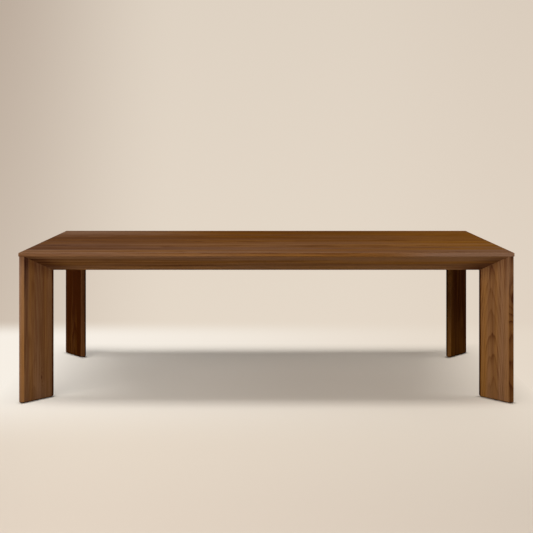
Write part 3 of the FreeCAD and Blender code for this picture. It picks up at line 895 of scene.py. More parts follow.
def fastener_spots(name, pointing):
    """A spot for each fastener of a node: the outer face of its head, with Z along its shank."""
    spots = []
    for points in solids_of(name):
        centre = sum(points, Vector()) / len(points)
        forward = pointing(centre)
        axis_point = centre - forward * centre.dot(forward)
        face = axis_point + forward * min(point.dot(forward) for point in points)
        turn = forward.to_track_quat("Z", "Y").to_matrix().to_4x4()
        spots.append(Matrix.Translation(face) @ turn)
    return spots


def straight_up(_centre):
    """The way the rail screws point."""
    return ALONG_Z


def outward(centre):
    """The way the corner fasteners point: out along the table's corner."""
    return Vector((math.copysign(1, centre.x), math.copysign(1, centre.y), 0)).normalized()


# Pieces


# Boards of the top from the front: pith across and below the board, taper, tone and warmth

TOP_CUTS = (
    (0.020, 0.110, 0.010, 0.02, -0.10),
    (-0.050, 0.080, -0.012, 0.05, -0.10),
    (0.030, 0.140, 0.008, 0.01, 0.08),
    (-0.010, 0.090, 0.014, 0.12, 0.30),
    (0.060, 0.120, -0.010, 0.16, 0.44),
    (-0.030, 0.070, 0.009, 0.18, 0.40),
    (0.015, 0.130, -0.013, 0.14, 0.40),
    (-0.045, 0.100, 0.011, 0.14, 0.40),
)
TOP_GROWTH = {"Wander": 0.035, "Band Share": 0.44}
TOP_SLIDE = 3.1

# Knots: how far along the grain and across it from the piece's middle, and how large

TOP_KNOTS = {1: (-0.67, 0.012, 0.006), 6: (0.55, -0.03, 0.005)}
LEG_KNOTS = {"front_left": (-0.252, 0.018, 0.005), "front_right": (0.16, -0.098, 0.012)}

# Metres over which the top's tones come and go, along it and from front to back

# Painted sheen on the top, lighter and darker by place across all its boards
TOP_LEFT = (-1.2, -0.1)
TOP_RIGHT = (0.3, 1.1)
TOP_HEART = 0.15
TOP_HEART_REACH = (0.1, 0.9)
TOP_BACK = (-0.1, 0.5)
TOP_RIM = (0.10, 0.50)
TOP_NEAR = (0.0, -0.35)
BOARD_ENDS = (0.35, 1.1)

# The first board's front edge, and the light line that drifts along it

EDGE_FACE = (-0.5595, -0.5580)
EDGE_RIGHT = (0.45, 0.95)
LINE_HEIGHT = 0.7255
LINE_DRIFT = 0.012
LINE_SCALE = (1.6, 0, 0)
LINE_WIDTH = (0.0010, 0.0042)
LINE_MIDDLE = -0.12
LINE_REACH = (0.25, 0.75)

# Aprons: slide along the log, way of the grain and way across it

APRON_CUTS = {
    "front": (1.7, ALONG_X, ALONG_Y),
    "right": (9.0, ALONG_Y, ALONG_X),
    "back": (16.3, ALONG_X, ALONG_Y),
    "left": (23.6, ALONG_Y, ALONG_X),
}
APRON_PITH = (0.01, 0.12)
APRON_GROWTH = {
    "Taper": 0.012,
    "Wander": 0.04,
    "Tone": -0.30,
    "Warmth": 0.25,
    "Ring Share": 0.6,
    "Band Share": 0.95,
    "Streak Share": 0.45,
}

# Metres over which an apron's tones come and go: from the leg, up it and along it

# Painted shade at an apron's ends, out from the leg
APRON_END_SHADE = (0.0, 0.13)
APRON_TOP = (0.70, 0.722)
APRON_LEFT = (-0.9, -0.2)

# Legs: pith across and behind the middle, slide along the log, and how each one's wood grew

LEG_CUTS = {
    "front_left": ((0.030, 0.100, 11.0), (0.020, -0.06, -0.05, 0.3, 0.38, 0.50)),
    "front_right": ((-0.010, 0.085, 23.506), (0.050, -0.23, 0.08, 0.6, 0.75, 0.50)),
    "back_right": ((0.040, 0.110, 31.0), (0.020, -0.10, 0.10, 0.4, 0.42, 0.22)),
    "back_left": ((-0.020, 0.090, 42.0), (0.025, -0.06, 0.10, 0.4, 0.46, 0.22)),
}
LEG_COLUMNS = ("Taper", "Tone", "Warmth", "Ring Share", "Band Share", "Streak Share")
LEG_GROWTH = {"Wander": 0.03, "Warmth Share": 0.3}
LEG_THICKNESS = 0.034

# Metres over which a leg's tones come and go: in from an edge or face, across it and up it

# Painted highlight along a leg's long edges, in from the edge
EDGE_HIGHLIGHT = (0.0008, 0.0045)
# Painted shade on a leg's inner face, which looks in under the table
INNER_FACE_SHADE = (0.0045, 0.0015)
FRONT_FACE = (0.0022, 0.0008)
# Painted shade at a leg's foot, up from its bottom, where its contact shadow falls
FOOT_SHADE = (0.0015, 0.005)
# Painted shade high on the outer part of a leg's sides, under the top: across the leg and up it
UPPER_SHADE_PLACE = (-0.085, -0.045)
UPPER_SHADE_HEIGHT = (0.48, 0.70)
# Painted shade over a back leg's front half comes in over this depth, and painted bounce light low
# on it fades over these heights
PAINTED_SHADE_DEPTH = (-0.004, 0.002)
LOW_BOUNCE_HEIGHT = (0.02, 0.34)

# How far the joint between apron and leg falls for each metre along the leg's diagonal

MITRE_FALL = 0.5
# Height below that joint over which the painted shade fades out
MITRE_SHADE = 0.07

# How much darker and warmer each leg's front face is than the rest of it

FRONT_FACES = {
    "front_left": (-0.22, -0.30),
    "front_right": (0.28, -0.10),
    "back_right": (-0.40, -0.40),
    "back_left": (-0.42, -0.80),
}

# How much darker and warmer a back leg is through its front half, a painted shade, and again low
# down, where painted light bounced from the floor makes it lighter

PAINTED_SHADE_HALVES = {"back_right": (0.63, 0.55), "back_left": (0.75, 0.45)}
LOW_BOUNCE_LIGHT = (-0.20, 0.25)

# Heights between which a streak or band comes in, upwards or downwards

ALL_THE_WAY = (-2.0, -1.0)

# Streaks down a leg: how far in from its middle, half width, heights, tone and warmth

LEG_STREAKS = {
    "front_left": (
        (-0.076, 0.030, ALL_THE_WAY, 0.16, -0.30),
        (0.050, 0.030, ALL_THE_WAY, -0.05, 0.16),
        (-0.038, 0.020, ALL_THE_WAY, 0.06, 0.20),
        (-0.070, 0.026, (0.40, 0.68), 0.09, -0.40),
        (-0.070, 0.026, (0.34, 0.10), -0.10, 0.10),
        (0.000, 0.030, (0.36, 0.22), -0.12, 0.00),
        (0.040, 0.060, (0.16, 0.03), -0.12, -0.15),
    ),
    "front_right": (
        (-0.070, 0.022, (0.60, 0.48), -0.34, 0.20),
        (-0.088, 0.020, ALL_THE_WAY, -0.10, 0.40),
        (-0.035, 0.030, ALL_THE_WAY, 0.10, -0.35),
        (0.060, 0.034, (0.66, 0.54), 0.06, 0.30),
    ),
    "back_left": (
        (0.054, 0.028, ALL_THE_WAY, 0.24, 0.00),
        (-0.030, 0.040, ALL_THE_WAY, -0.10, 0.10),
    ),
}
STREAK_CORE = 0.3

# Bands on a leg's front face: heights, tone and warmth

FACE_BANDS = {
    "front_left": (
        ((0.26, 0.42), -0.13, -0.30),
        ((0.56, 0.70), 0.30, -0.34),
        ((0.12, 0.03), 0.10, 0.05),
    ),
    "front_right": (((0.62, 0.40), 0.04, 0.75),),
}

# The lighter line down the front left leg, in from its outer edge

OUTER_LINE = (0.006, 0.017)
OUTER_LINE_SHIFTS = (-0.14, 0.55)

# How much darker each patch makes the wood, and how much warmer

TOP_SHIFTS = {
    # Painted sheen on the top, across all its boards
    "left": (0.10, -0.60),
    "right": (-0.11, 0.48),
    "heart": (0.08, 0.54),
    "rim": (-0.38, -0.80),
    "near": (0.13, -0.10),
}
FRONT_BOARD_SHIFTS = {
    "ends": (-0.04, -0.50),
    "edge": (0.08, 0.60),
    "edge_ends": (0.02, -0.80),
    "edge_right": (-0.32, -0.80),
    "line": (-0.42, 0.20),
}
# An apron's ends get painted shade beside the legs
APRON_SHIFTS = {"ends": (0.50, -0.10), "top": (-0.20, -0.35), "left": (0.02, -0.45)}
LEG_SHIFTS = {
    # Lighter: a painted highlight along the long edges
    "edge_highlight": (-0.14, 0.0),
    # Darker: painted shade on the inner face
    "inner_face_shade": (0.75, 0.20),
    # Darker: painted shade below the joint with the apron and top
    "mitre": (0.24, -0.10),
    "outer_half": (0.0, -0.20),
    # Darker: painted shade high on the sides, under the top
    "upper_shade": (0.22, -0.35),
    # Darker: painted shade at the foot
    "foot_shade": (0.24, 0.0),
}

# Plain hardwood of the inner frame: how it grew, and the pith from one piece to the next

INNER_GROWTH = {"Taper": 0.01, "Wander": 0.02, "Ring Share": 0.35, "Band Share": 0.35}
INNER_PITH = Vector((0, 0.02, 0.07))
INNER_STEP = Vector((5.9, 0, 0.01))


def with_knot(cut, knot, slide, across):
    """A cut of the log, with a knot if it has one."""
    if not knot:
        return cut
    along, aside, size = knot
    return {**cut, "Knot Spot": (slide + along, across + aside, 0), "Knot Size": size}


def with_shifts(masks, shifts):
    """Patches: each is a mask, how much darker it makes the wood, and how much warmer."""
    return [(mask, *shifts[kind]) for kind, mask in masks.items()]


def top_patches(tree):
    """Painted sheen across the boards: greyer to the left, lighter to the right, deep brown behind
    the middle.
    """
    place = axes_of(tree, object_place(tree))
    left = fade(tree, place["X"], *TOP_LEFT)
    middle = fade(tree, apart(tree, place["X"], TOP_HEART), *TOP_HEART_REACH)
    masks = {
        "left": left,
        "right": spread(tree, place["X"], *TOP_RIGHT),
        "heart": overlap(tree, spread(tree, place["Y"], *TOP_BACK), middle),
        "rim": overlap(tree, spread(tree, place["Y"], *TOP_RIM), left),
        "near": overlap(tree, spread(tree, place["Y"], *TOP_NEAR), left),
    }
    return with_shifts(masks, TOP_SHIFTS)


def front_board_patches(tree):
    """Greyer wood at both ends of the first board, and a light streak along its front edge."""
    where = object_place(tree)
    place = axes_of(tree, where)
    ends = spread(tree, unsigned(tree, place["X"]), *BOARD_ENDS)
    edge = fade(tree, place["Y"], *EDGE_FACE)
    drift = noise(tree, where, LINE_SCALE, detail=1.0)
    height = calc(tree, "MULTIPLY_ADD", drift, LINE_DRIFT, LINE_HEIGHT)
    line = fade(tree, apart(tree, place["Z"], height), *LINE_WIDTH)
    length = fade(tree, apart(tree, place["X"], LINE_MIDDLE), *LINE_REACH)
    masks = {
        "ends": ends,
        "edge": edge,
        "edge_ends": overlap(tree, edge, ends),
        "edge_right": overlap(tree, edge, spread(tree, place["X"], *EDGE_RIGHT)),
        "line": overlap(tree, edge, line, length),
    }
    return with_shifts(masks, FRONT_BOARD_SHIFTS)


def apron_patches(tree, grain, width):
    """Painted shade at an apron's ends beside the legs, lighter along its top and greyer to the
    left.
    """
    where = object_place(tree)
    place = axes_of(tree, where)
    lean = (width - grain).normalized()
    leg_face = lean.dot(middle_of("leg_back_right")) + LEG_THICKNESS / 2
    mirrored = vector_calc(tree, "ABSOLUTE", where)
    reach = vector_calc(tree, "DOT_PRODUCT", mirrored, lean, output="Value")
    gap = calc(tree, "SUBTRACT", reach, leg_face)
    masks = {
        # Painted shade beside the leg
        "ends": fade(tree, gap, *APRON_END_SHADE),
        "top": spread(tree, place["Z"], *APRON_TOP),
        "left": fade(tree, place["X"], *APRON_LEFT),
    }
    return with_shifts(masks, APRON_SHIFTS)


def leg_patches(tree, corner):
    """Painted highlights on the long edges, painted shade on the inner face, high on the sides, at
    the foot and at the mitre, bands and streaks, and on the back legs painted shade and painted
    bounce light.
    """
    name = f"leg_{corner}"
    centre = middle_of(name)
    low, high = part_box(name)
    half = (high.x - low.x) / 2
    tip = half * math.sqrt(2)
    across = measured(tree, ALONG_X * -math.copysign(1, centre.x), centre)
    forward = measured(tree, -ALONG_Y, centre)
    diagonal = measured(tree, -outward(centre), centre)
    height = axes_of(tree, object_place(tree))["Z"]

    edge = apart(tree, unsigned(tree, diagonal), tip - LEG_THICKNESS / 2)
    front = spread(tree, forward, *(half - gap for gap in FRONT_FACE))
    sides = calc(tree, "SUBTRACT", 1.0, front)
    joint = calc(tree, "MULTIPLY_ADD", diagonal, -MITRE_FALL, high.z)
    drop = calc(tree, "SUBTRACT", joint, height)
    lowest = MITRE_FALL * tip
    # Painted shade high on the outer sides, under the top
    upper_shade = overlap(tree, fade(tree, diagonal, *UPPER_SHADE_PLACE), sides)
    upper_shade = overlap(tree, upper_shade, spread(tree, height, *UPPER_SHADE_HEIGHT))
    masks = {
        # Painted highlight along the long edges
        "edge_highlight": fade(tree, edge, *EDGE_HIGHLIGHT),
        # Painted shade on the inner face
        "inner_face_shade": spread(tree, across, *(half - gap for gap in INNER_FACE_SHADE)),
        "front_face": front,
        # Painted shade below the joint with the apron and top
        "mitre": fade(tree, drop, lowest, lowest + MITRE_SHADE),
        "outer_half": spread(tree, diagonal, -tip, tip, 1.0, -1.0, smooth=False),
        "upper_shade": upper_shade,
        # Painted shade at the foot
        "foot_shade": fade(tree, height, *(low.z + rise for rise in FOOT_SHADE)),
    }
    patches = with_shifts(masks, {**LEG_SHIFTS, "front_face": FRONT_FACES[corner]})
    if corner == "front_left":
        inside = spread(tree, across, *(reach - half for reach in OUTER_LINE))
        patches.append((overlap(tree, front, inside), *OUTER_LINE_SHIFTS))
    for heights, *shifts in FACE_BANDS.get(corner, ()):
        patches.append((overlap(tree, front, spread(tree, height, *heights)), *shifts))
    for place, width, heights, *shifts in LEG_STREAKS.get(corner, ()):
        streak = fade(tree, apart(tree, diagonal, place), STREAK_CORE * width, width)
        streak = overlap(tree, streak, spread(tree, height, *heights), sides)
        patches.append((streak, *shifts))
    # Painted shade over the front half of each back leg, and painted light bounced from the floor
    # low down on it
    if corner in PAINTED_SHADE_HALVES:
        through = outward(centre).cross(ALONG_Z)
        through = measured(tree, through * -math.copysign(1, through.y), centre)
        shaded = spread(tree, through, *PAINTED_SHADE_DEPTH)
        patches.append((shaded, *PAINTED_SHADE_HALVES[corner]))
        low_bounce_light = overlap(tree, shaded, fade(tree, height, *LOW_BOUNCE_HEIGHT))
        patches.append((low_bounce_light, *LOW_BOUNCE_LIGHT))
    return patches


class DINING_OT_top(bpy.types.Operator):
    """Give the top boards their walnut"""

    bl_idname = "dining.top"
    bl_label = "Top boards"

    def execute(self, context):
        wood = settings("walnut")
        for number, (across, below, taper, tone, warmth) in enumerate(TOP_CUTS, start=1):
            name = f"top_board_{number}"
            slide = TOP_SLIDE * number
            place = (ALONG_X, ALONG_Y, middle_of(name), (slide, across, below))
            cut = {**TOP_GROWTH, "Taper": taper, "Tone": tone, "Warmth": warmth}
            cut = with_knot(cut, TOP_KNOTS.get(number), slide, across)
            patches = front_board_patches if number == 1 else top_patches
            dress(name, wood_material(f"walnut_{name}", wood, place, cut, patches))
        return {"FINISHED"}


class DINING_OT_aprons(bpy.types.Operator):
    """Give the aprons their walnut"""

    bl_idname = "dining.aprons"
    bl_label = "Aprons"

    def execute(self, context):
        wood = settings("walnut")
        for side, (slide, grain, width) in APRON_CUTS.items():
            name = f"{side}_apron"
            place = (grain, width, middle_of(name), (slide, *APRON_PITH))
            patches = partial(apron_patches, grain=grain, width=width)
            dress(name, wood_material(f"walnut_{name}", wood, place, APRON_GROWTH, patches))
        return {"FINISHED"}


class DINING_OT_legs(bpy.types.Operator):
    """Give the legs their walnut"""

    bl_idname = "dining.legs"
    bl_label = "Legs"

    def execute(self, context):
        wood = settings("walnut")
        for corner, ((across, behind, slide), growth) in LEG_CUTS.items():
            name = f"leg_{corner}"
            centre = middle_of(name)
            place = (ALONG_Z, -outward(centre), centre, (slide, across, behind))
            cut = {**LEG_GROWTH, **dict(zip(LEG_COLUMNS, growth))}
            cut = with_knot(cut, LEG_KNOTS.get(corner), slide, across)
            patches = partial(leg_patches, corner=corner)
            dress(name, wood_material(f"walnut_{name}", wood, place, cut, patches))
        return {"FINISHED"}


class DINING_OT_inner_frame(bpy.types.Operator):
    """Give the rails, corner blocks and glue blocks their plain hardwood"""

    bl_idname = "dining.inner_frame"
    bl_label = "Inner frame"

    def execute(self, context):
        wood = settings("frame_wood")
        pieces = [(f"cross_rail_{side}", ALONG_Y, ALONG_X) for side in ("left", "middle", "right")]
        pieces += [(f"{side}_glue_blocks", ALONG_X, ALONG_Y) for side in ("front", "back")]
        pieces += [(f"{side}_glue_blocks", ALONG_Y, ALONG_X) for side in ("left", "right")]
        for corner in CORNERS:
            name = f"corner_block_{corner}"
            inward = -outward(middle_of(name))
            pieces.append((name, ALONG_Z.cross(inward), inward))
        for number, (name, grain, width) in enumerate(pieces):
            place = (grain, width, middle_of(name), INNER_PITH + number * INNER_STEP)
            dress(name, wood_material(f"hardwood_{name}", wood, place, INNER_GROWTH))
        return {"FINISHED"}


class DINING_OT_leg_bolts(bpy.types.Operator):
    """Add the leg bolts with hexagon heads and cut threads, and finish their washers"""

    bl_idname = "dining.leg_bolts"
    bl_label = "Leg bolts and washers"

    HEAD = 0.0053
    FLATS = 0.013
    LENGTH = 0.055
    PLAIN = 0.012
    TIP = 0.0012
    BEVEL_SHARE = 0.94
    BEVEL_FALL = math.tan(math.radians(30))

    def execute(self, context):
        kinds = settings("fasteners")
        angles = even_angles(kinds.sides)
        top = self.FLATS / 2 * self.BEVEL_SHARE
        shoulder = self.HEAD + self.PLAIN
        head = partial(hexagon_reach, self.FLATS)
        profile = [
            (top, 0),
            (head, lambda angle: (head(angle) - top) * self.BEVEL_FALL),
            (head, self.HEAD),
            (METRIC_RADIUS, self.HEAD),
            (METRIC_RADIUS, shoulder),
        ]
        rings = rings_of(profile, angles)
        end = self.HEAD + self.LENGTH
        rings += metric_rings(kinds.bolt_pitch, shoulder, end, self.TIP, angles)
        spots = fastener_spots("leg_bolts", outward)
        metal = plated_material("bright_zinc", settings("metals").zinc, roughness=0.22)
        shape = copies_of(skin(rings, kinds.sides), spots)
        make_piece("threaded_leg_bolts", shape, metal, "root", "zinc_steel", "leg_bolts")
        dress("leg_washers", metal)
        return {"FINISHED"}


class DINING_OT_wood_screws(bpy.types.Operator):
    """Add the pan head wood screws of the rails and corner blocks"""

    bl_idname = "dining.wood_screws"
    bl_label = "Wood screws"

    HEAD = 0.003
    HEAD_RADIUS = 0.0045
    DOME = ((0.55, 0.06), (0.80, 0.20), (0.95, 0.48), (1.0, 0.80), (1.0, 1.0))
    RADIUS = 0.00225
    NECK_SHARE = 0.85
    NECK = 0.001
    THREAD_DEPTH = 0.0008
    LENGTH = 0.035
    TIP = 0.006
    DRIVE_DEPTH = 0.0016
    DRIVE_TAPER = 0.9

    def execute(self, context):
        kinds = settings("fasteners")
        angles = even_angles(kinds.sides)
        drive = kinds.drive_radius
        profile = [
            (partial(lobed_reach, drive * self.DRIVE_TAPER), self.DRIVE_DEPTH),
            (partial(lobed_reach, drive), 0),
        ]
        profile += [(self.HEAD_RADIUS * out, self.HEAD * down) for out, down in self.DOME]
        profile.append((self.RADIUS * self.NECK_SHARE, self.HEAD))
        start = self.HEAD + self.NECK
        end = self.HEAD + self.LENGTH
        depth = self.THREAD_DEPTH
        rings = rings_of(profile, angles)
        rings += thread_rings(self.RADIUS, depth, kinds.screw_pitch, start, end, angles, self.TIP)
        shape = skin(rings, kinds.sides)
        metal = plated_material("yellow_zinc", settings("metals").yellow_zinc, roughness=0.28)
        for node, pointing in (("rail_screws", straight_up), ("corner_block_screws", outward)):
            piece = copies_of(shape, fastener_spots(node, pointing))
            make_piece(f"threaded_{node}", piece, metal, "root", "yellow_zinc_steel", node)
        return {"FINISHED"}


class DINING_OT_inserts(bpy.types.Operator):
    """Finish the threaded inserts of the legs"""

    bl_idname = "dining.inserts"
    bl_label = "Threaded inserts"

    def execute(self, context):
        metal = plated_material("turned_brass", settings("metals").brass, roughness=0.25)
        for name in ("leg_inserts", "foot_inserts"):
            dress(name, metal)
        return {"FINISHED"}


class DINING_OT_levelling_feet(bpy.types.Operator):
    """Add the foot stems with collar and thread, and finish the nylon pads"""

    bl_idname = "dining.levelling_feet"
    bl_label = "Levelling feet"

    HEAD_RADIUS = 0.005
    HEAD = 0.0025
    NECK_RADIUS = 0.003
    COLLAR_FLATS = 0.011
    COLLAR_PLACE = 0.01
    COLLAR = 0.004
    TIP = 0.001

    def execute(self, context):
        kinds = settings("fasteners")
        angles = even_angles(kinds.sides)
        metals = settings("metals")
        steel = plated_material("stem_zinc", metals.zinc, roughness=0.24)
        nylon = plated_material("black_nylon", metals.nylon, roughness=0.42, metallic=0.0)
        collar = partial(hexagon_reach, self.COLLAR_FLATS)
        collar_top = self.COLLAR_PLACE + self.COLLAR
        for corner in CORNERS:
            node = f"foot_stem_{corner}"
            low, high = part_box(node)
            profile = [
                (self.HEAD_RADIUS, low.z),
                (self.HEAD_RADIUS, low.z + self.HEAD),
                (self.NECK_RADIUS, low.z + self.HEAD),
                (self.NECK_RADIUS, self.COLLAR_PLACE),
                (collar, self.COLLAR_PLACE),
                (collar, collar_top),
                (METRIC_RADIUS, collar_top),
            ]
            rings = rings_of(profile, angles)
            rings += metric_rings(kinds.bolt_pitch, collar_top, high.z, self.TIP, angles)
            foot = Matrix.Translation(((low.x + high.x) / 2, (low.y + high.y) / 2, 0))
            shape = copies_of(skin(rings, kinds.sides), [foot])
            body = f"stem_{corner}"
            make_piece(f"threaded_{node}", shape, steel, body, "zinc_steel", node)
            dress(f"foot_pad_{corner}", nylon)
        return {"FINISHED"}


# Studio

FLOOR_REACH = 40.0
FLOOR_HEIGHT = -0.0002
WALL_PLACE = 1.62
WALL_REACH = 9.0
WALL_HEIGHT = 5.0

# Metres over which one tone of the floor gives way to the next

# Painted pool of light beside the table, to the left
LIGHT_POOL_SIDE = (-1.5, 1.9)
LIGHT_POOL_MIDDLE = 0.45
LIGHT_POOL_DEPTH = (0.7, 1.75)
# Painted falloff of light, darker towards the camera
NEAR_FALLOFF_DEPTH = (-2.3, -0.6)
WALL_DEPTH = (1.0, 1.6)
PLAIN_SIDES = (2.3, 4.2)

# Where the table's shadow is thinned: metres over which that comes in, and by how much

THIN_BEHIND = (0.42, 0.85)
THIN_UNDER = (-0.4, 0.42, 0.0, 0.13)
THIN_RIGHT = (0.1, 0.7, 0.0, 0.05)
THIN_BESIDE = (0.3, 1.38)
THIN_BESIDE_POWER = 3.0
THIN_FAR = (2.6, 5.0)
CONTACT_REACH = 0.012
LIT_TINT = (1.0, 1.025, 1.045)

# The floor beneath the table: half its length and half its width, where they run out

BENEATH_LENGTH = (1.1, 1.4)
BENEATH_WIDTH = (0.45, 0.75)

# The wall: shade to the left, less of it far off and more higher up, and its right side

SHADE_SIDE = (-2.2, -0.6)
SHADE_KEPT = (-6.0, -3.2, 0.35, 1.0)
SHADE_HIGHER = (0.0, 2.3, 0.74, 1.1)
RIGHT_SIDE = (0.5, 2.0)
WALL_FALL = (0.0, 2.6, 1.0, 0.93)

# Overhead light grows with height above the horizon

SKY_COLOUR = (1, 0.985, 0.965)
SKY_RISE = 0.5

# Lamps: where each stands, where it points, its width and its depth

LAMPS = {
    "softbox": ((0, -0.6, 10), (0, -0.6, 0), 18, 2.4),
    "key": ((-2.4, -5.4, 3.7), (0, 0, 0.3), 6.5, 2.2),
}


def flat_piece(name, corners, material):
    """A flat part of the studio."""
    mesh = bpy.data.meshes.new(name)
    mesh.from_pydata(corners, [], [(0, 1, 2, 3)])
    mesh.materials.append(material)
    piece = bpy.data.objects.new(name, mesh)
    bpy.context.scene.collection.objects.link(piece)


def studio_material(name):
    """A node material without a shader, and its output."""
    material, tree, shader = new_material(name)
    tree.nodes.remove(shader)
    return material, tree, tree.nodes["Material Output"].inputs[0]


def seen_directly(tree):
    """1 where the camera sees the surface itself, or through glass or in metal."""
    path = tree.nodes.new("ShaderNodeLightPath").outputs
    seen = calc(tree, "MAXIMUM", path["Is Camera Ray"], path["Is Glossy Ray"])
    return calc(tree, "MAXIMUM", seen, path["Is Transmission Ray"])


def backfacing(tree):
    """1 on the side that a surface turns away from."""
    return tree.nodes.new("ShaderNodeNewGeometry").outputs["Backfacing"]


def clear_shader(tree):
    """A shader that lets everything through."""
    return add(tree, "ShaderNodeBsdfTransparent").outputs[0]


def mixed_shader(tree, share, first, second):
    """Two shaders mixed by a share."""
    return add(tree, "ShaderNodeMixShader", {0: share, 1: first, 2: second}).outputs[0]


def wall_tint(tree, studio, place):
    """The wall's colour at a place on it, shaded to the left and more so higher up."""
    shade = fade(tree, place["X"], *SHADE_SIDE)
    shade = overlap(tree, shade, spread(tree, place["X"], *SHADE_KEPT))
    higher = spread(tree, place["Z"], *SHADE_HIGHER, smooth=False)
    shade = calc(tree, "MULTIPLY", shade, higher, clamp=True)
    colour = mixed(tree, shade, studio.wall_colour, studio.wall_left)
    return mixed(tree, spread(tree, place["X"], *RIGHT_SIDE), colour, studio.wall_right)


def floor_tint(tree, studio, place):
    """The floor's colour: a painted pool of light beside the table, a painted falloff deeper near
    the camera, the wall's behind.
    """
    depth = fade(tree, apart(tree, place["Y"], LIGHT_POOL_MIDDLE), *LIGHT_POOL_DEPTH)
    bright = overlap(tree, fade(tree, place["X"], *LIGHT_POOL_SIDE), depth)
    colour = mixed(tree, bright, studio.floor_colour, studio.light_pool_colour)
    colour = mixed(tree, fade(tree, place["Y"], *NEAR_FALLOFF_DEPTH), colour, studio.near_falloff_colour)
    back = spread(tree, place["Y"], *WALL_DEPTH)
    colour = mixed(tree, back, colour, wall_tint(tree, studio, place))
    aside = spread(tree, unsigned(tree, place["X"]), *PLAIN_SIDES)
    return mixed(tree, aside, colour, studio.floor_colour)


def floor_bounce(tree, studio, place):
    """What the floor gives back to the table, less where the table stands over it."""
    length = fade(tree, unsigned(tree, place["X"]), *BENEATH_LENGTH)
    width = fade(tree, unsigned(tree, place["Y"]), *BENEATH_WIDTH)
    beneath = overlap(tree, length, width)
    return mixed(tree, beneath, studio.bounce_colour, studio.bounce_beneath)


def away_from_legs(tree, where):
    """0 under each leg and 1 just outside it, so that the legs keep their contact shadow."""
    name = "leg_back_right"
    low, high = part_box(name)
    tip = (high.x - low.x) / math.sqrt(2)
    mirrored = vector_calc(tree, "ABSOLUTE", where)
    gaps = []
    for way, reach in ((ALONG_X + ALONG_Y, tip), (ALONG_X - ALONG_Y, LEG_THICKNESS / 2)):
        way.normalize()
        length = vector_calc(tree, "DOT_PRODUCT", mirrored, way, output="Value")
        offset = apart(tree, length, way.dot(middle_of(name)))
        gaps.append(calc(tree, "SUBTRACT", offset, reach))
    return spread(tree, calc(tree, "MAXIMUM", *gaps), 0.0, CONTACT_REACH)


def shadow_thinning(tree, where, place):
    """How far the floor's own colour shows through the table's shadow."""
    under = spread(tree, place["Y"], *THIN_UNDER, smooth=False)
    under = calc(tree, "ADD", under, spread(tree, place["X"], *THIN_RIGHT))
    beside = spread(tree, unsigned(tree, place["X"]), *THIN_BESIDE, smooth=False)
    level = vector_calc(tree, "MULTIPLY", where, (1, 1, 0))
    distance = vector_calc(tree, "LENGTH", level, output="Value")
    share = calc(tree, "MAXIMUM", spread(tree, place["Y"], *THIN_BEHIND), under)
    share = calc(tree, "MAXIMUM", share, calc(tree, "POWER", beside, THIN_BESIDE_POWER))
    share = calc(tree, "MAXIMUM", share, spread(tree, distance, *THIN_FAR))
    return overlap(tree, share, away_from_legs(tree, where))


def add_floor(studio):
    """A floor that keeps the table's shadow, and that is clear from below."""
    material, tree, surface = studio_material("studio_floor")
    where = object_place(tree)
    place = axes_of(tree, where)
    seen = seen_directly(tree)
    colour = floor_tint(tree, studio, place)
    bounce = floor_bounce(tree, studio, place)
    lit = mixed(tree, seen, bounce, tinted(tree, colour, LIT_TINT))
    matte = add(tree, "ShaderNodeBsdfDiffuse", {"Color": lit}).outputs[0]
    glow = add(tree, "ShaderNodeEmission", {"Color": colour}).outputs[0]
    share = overlap(tree, shadow_thinning(tree, where, place), seen)
    above = mixed_shader(tree, share, matte, glow)
    feed(tree, surface, mixed_shader(tree, backfacing(tree), above, clear_shader(tree)))
    turns = ((-1, -1), (1, -1), (1, 1), (-1, 1))
    corners = [(FLOOR_REACH * x, FLOOR_REACH * y, FLOOR_HEIGHT) for x, y in turns]
    flat_piece("studio_floor", corners, material)


def add_wall(studio):
    """A wall that only the camera sees, from the front."""
    material, tree, surface = studio_material("studio_wall")
    place = axes_of(tree, object_place(tree))
    strength = spread(tree, place["Z"], *WALL_FALL, smooth=False)
    inputs = {"Color": wall_tint(tree, studio, place), "Strength": strength}
    glow = add(tree, "ShaderNodeEmission", inputs).outputs[0]
    front = calc(tree, "SUBTRACT", 1.0, backfacing(tree))
    share = overlap(tree, front, seen_directly(tree))
    feed(tree, surface, mixed_shader(tree, share, clear_shader(tree), glow))
    turns = ((-1, 0), (1, 0), (1, 1), (-1, 1))
    corners = [(WALL_REACH * x, WALL_PLACE, WALL_HEIGHT * z) for x, z in turns]
    flat_piece("studio_wall", corners, material)


def add_world(studio):
    """Soft light from above, where the camera sees the wall's colour instead."""
    world = bpy.data.worlds.new("studio_world")
    world.use_nodes = True
    tree = world.node_tree
    light = tree.nodes["Background"]
    feed(tree, light.inputs["Color"], SKY_COLOUR)
    height = axes_of(tree, tree.nodes.new("ShaderNodeTexCoord").outputs["Generated"])["Z"]
    strength = spread(tree, height, 0.0, SKY_RISE, 0.0, studio.ambient)
    feed(tree, light.inputs["Strength"], strength)
    seen = add(tree, "ShaderNodeBackground", {"Color": studio.wall_colour})
    shader = mixed_shader(tree, seen_directly(tree), light.outputs[0], seen.outputs[0])
    feed(tree, tree.nodes["World Output"].inputs[0], shader)
    bpy.context.scene.world = world


def add_lamp(name, power):
    """A rectangular lamp, turned to what it points at."""
    spot, target, width, depth = LAMPS[name]
    data = bpy.data.lights.new(name, "AREA")
    data.shape = "RECTANGLE"
    data.size = width
    data.size_y = depth
    data.energy = power
    lamp = bpy.data.objects.new(name, data)
    lamp.location = spot
    way = Vector(target) - Vector(spot)
    lamp.rotation_euler = way.to_track_quat("-Z", "Y").to_euler()
    bpy.context.scene.collection.objects.link(lamp)
    return data


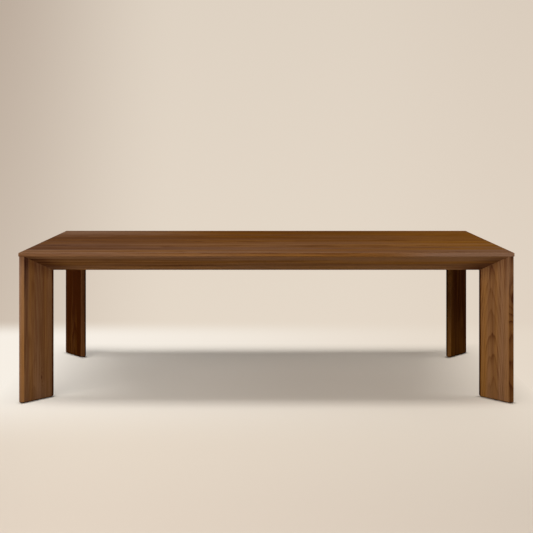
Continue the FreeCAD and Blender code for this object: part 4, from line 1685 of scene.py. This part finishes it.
def add_camera(studio):
    """A level camera, with its lens shifted down to the table."""
    data = bpy.data.cameras.new("studio_camera")
    data.lens = studio.lens
    data.shift_x, data.shift_y = studio.shift
    camera = bpy.data.objects.new("studio_camera", data)
    camera.location = studio.eye
    camera.rotation_euler = (math.radians(90), 0, 0)
    bpy.context.scene.collection.objects.link(camera)
    bpy.context.scene.camera = camera


class DINING_OT_stage(bpy.types.Operator):
    """Set up the floor, wall, lamps, world and camera"""

    bl_idname = "dining.stage"
    bl_label = "Studio"

    def execute(self, context):
        studio = settings("studio")
        add_floor(studio)
        add_wall(studio)
        add_world(studio)
        add_lamp("softbox", studio.softbox)
        add_lamp("key", studio.key).color = studio.key_colour
        add_camera(studio)
        context.scene.view_settings.view_transform = "Standard"
        return {"FINISHED"}


# Sidebar and registration

STEPS = (
    DINING_OT_top,
    DINING_OT_aprons,
    DINING_OT_legs,
    DINING_OT_inner_frame,
    DINING_OT_leg_bolts,
    DINING_OT_wood_screws,
    DINING_OT_inserts,
    DINING_OT_levelling_feet,
    DINING_OT_stage,
)
GROUPS = {
    "walnut": WalnutSettings,
    "frame_wood": FrameWoodSettings,
    "metals": MetalSettings,
    "fasteners": FastenerSettings,
    "studio": StudioSettings,
}


class DINING_PT_panel(bpy.types.Panel):
    """The steps that dress the table"""

    bl_idname = "DINING_PT_panel"
    bl_label = "Dining Table"
    bl_space_type = "VIEW_3D"
    bl_region_type = "UI"
    bl_category = "Dining Table"

    def draw(self, context):
        for step in STEPS:
            self.layout.operator(step.bl_idname)


def register():
    """Registers the settings, steps and panel."""
    for name, group in GROUPS.items():
        bpy.utils.register_class(group)
        setattr(bpy.types.Scene, f"dining_table_{name}", bpy.props.PointerProperty(type=group))
    for step in (*STEPS, DINING_PT_panel):
        bpy.utils.register_class(step)


def unregister():
    """Removes what register added."""
    for step in (*STEPS, DINING_PT_panel):
        bpy.utils.unregister_class(step)
    for name, group in GROUPS.items():
        delattr(bpy.types.Scene, f"dining_table_{name}")
        bpy.utils.unregister_class(group)


def main():
    """Runs every step in order."""
    register()
    for step in STEPS:
        group, name = step.bl_idname.split(".")
        getattr(getattr(bpy.ops, group), name)()


if __name__ == "__main__":
    main()
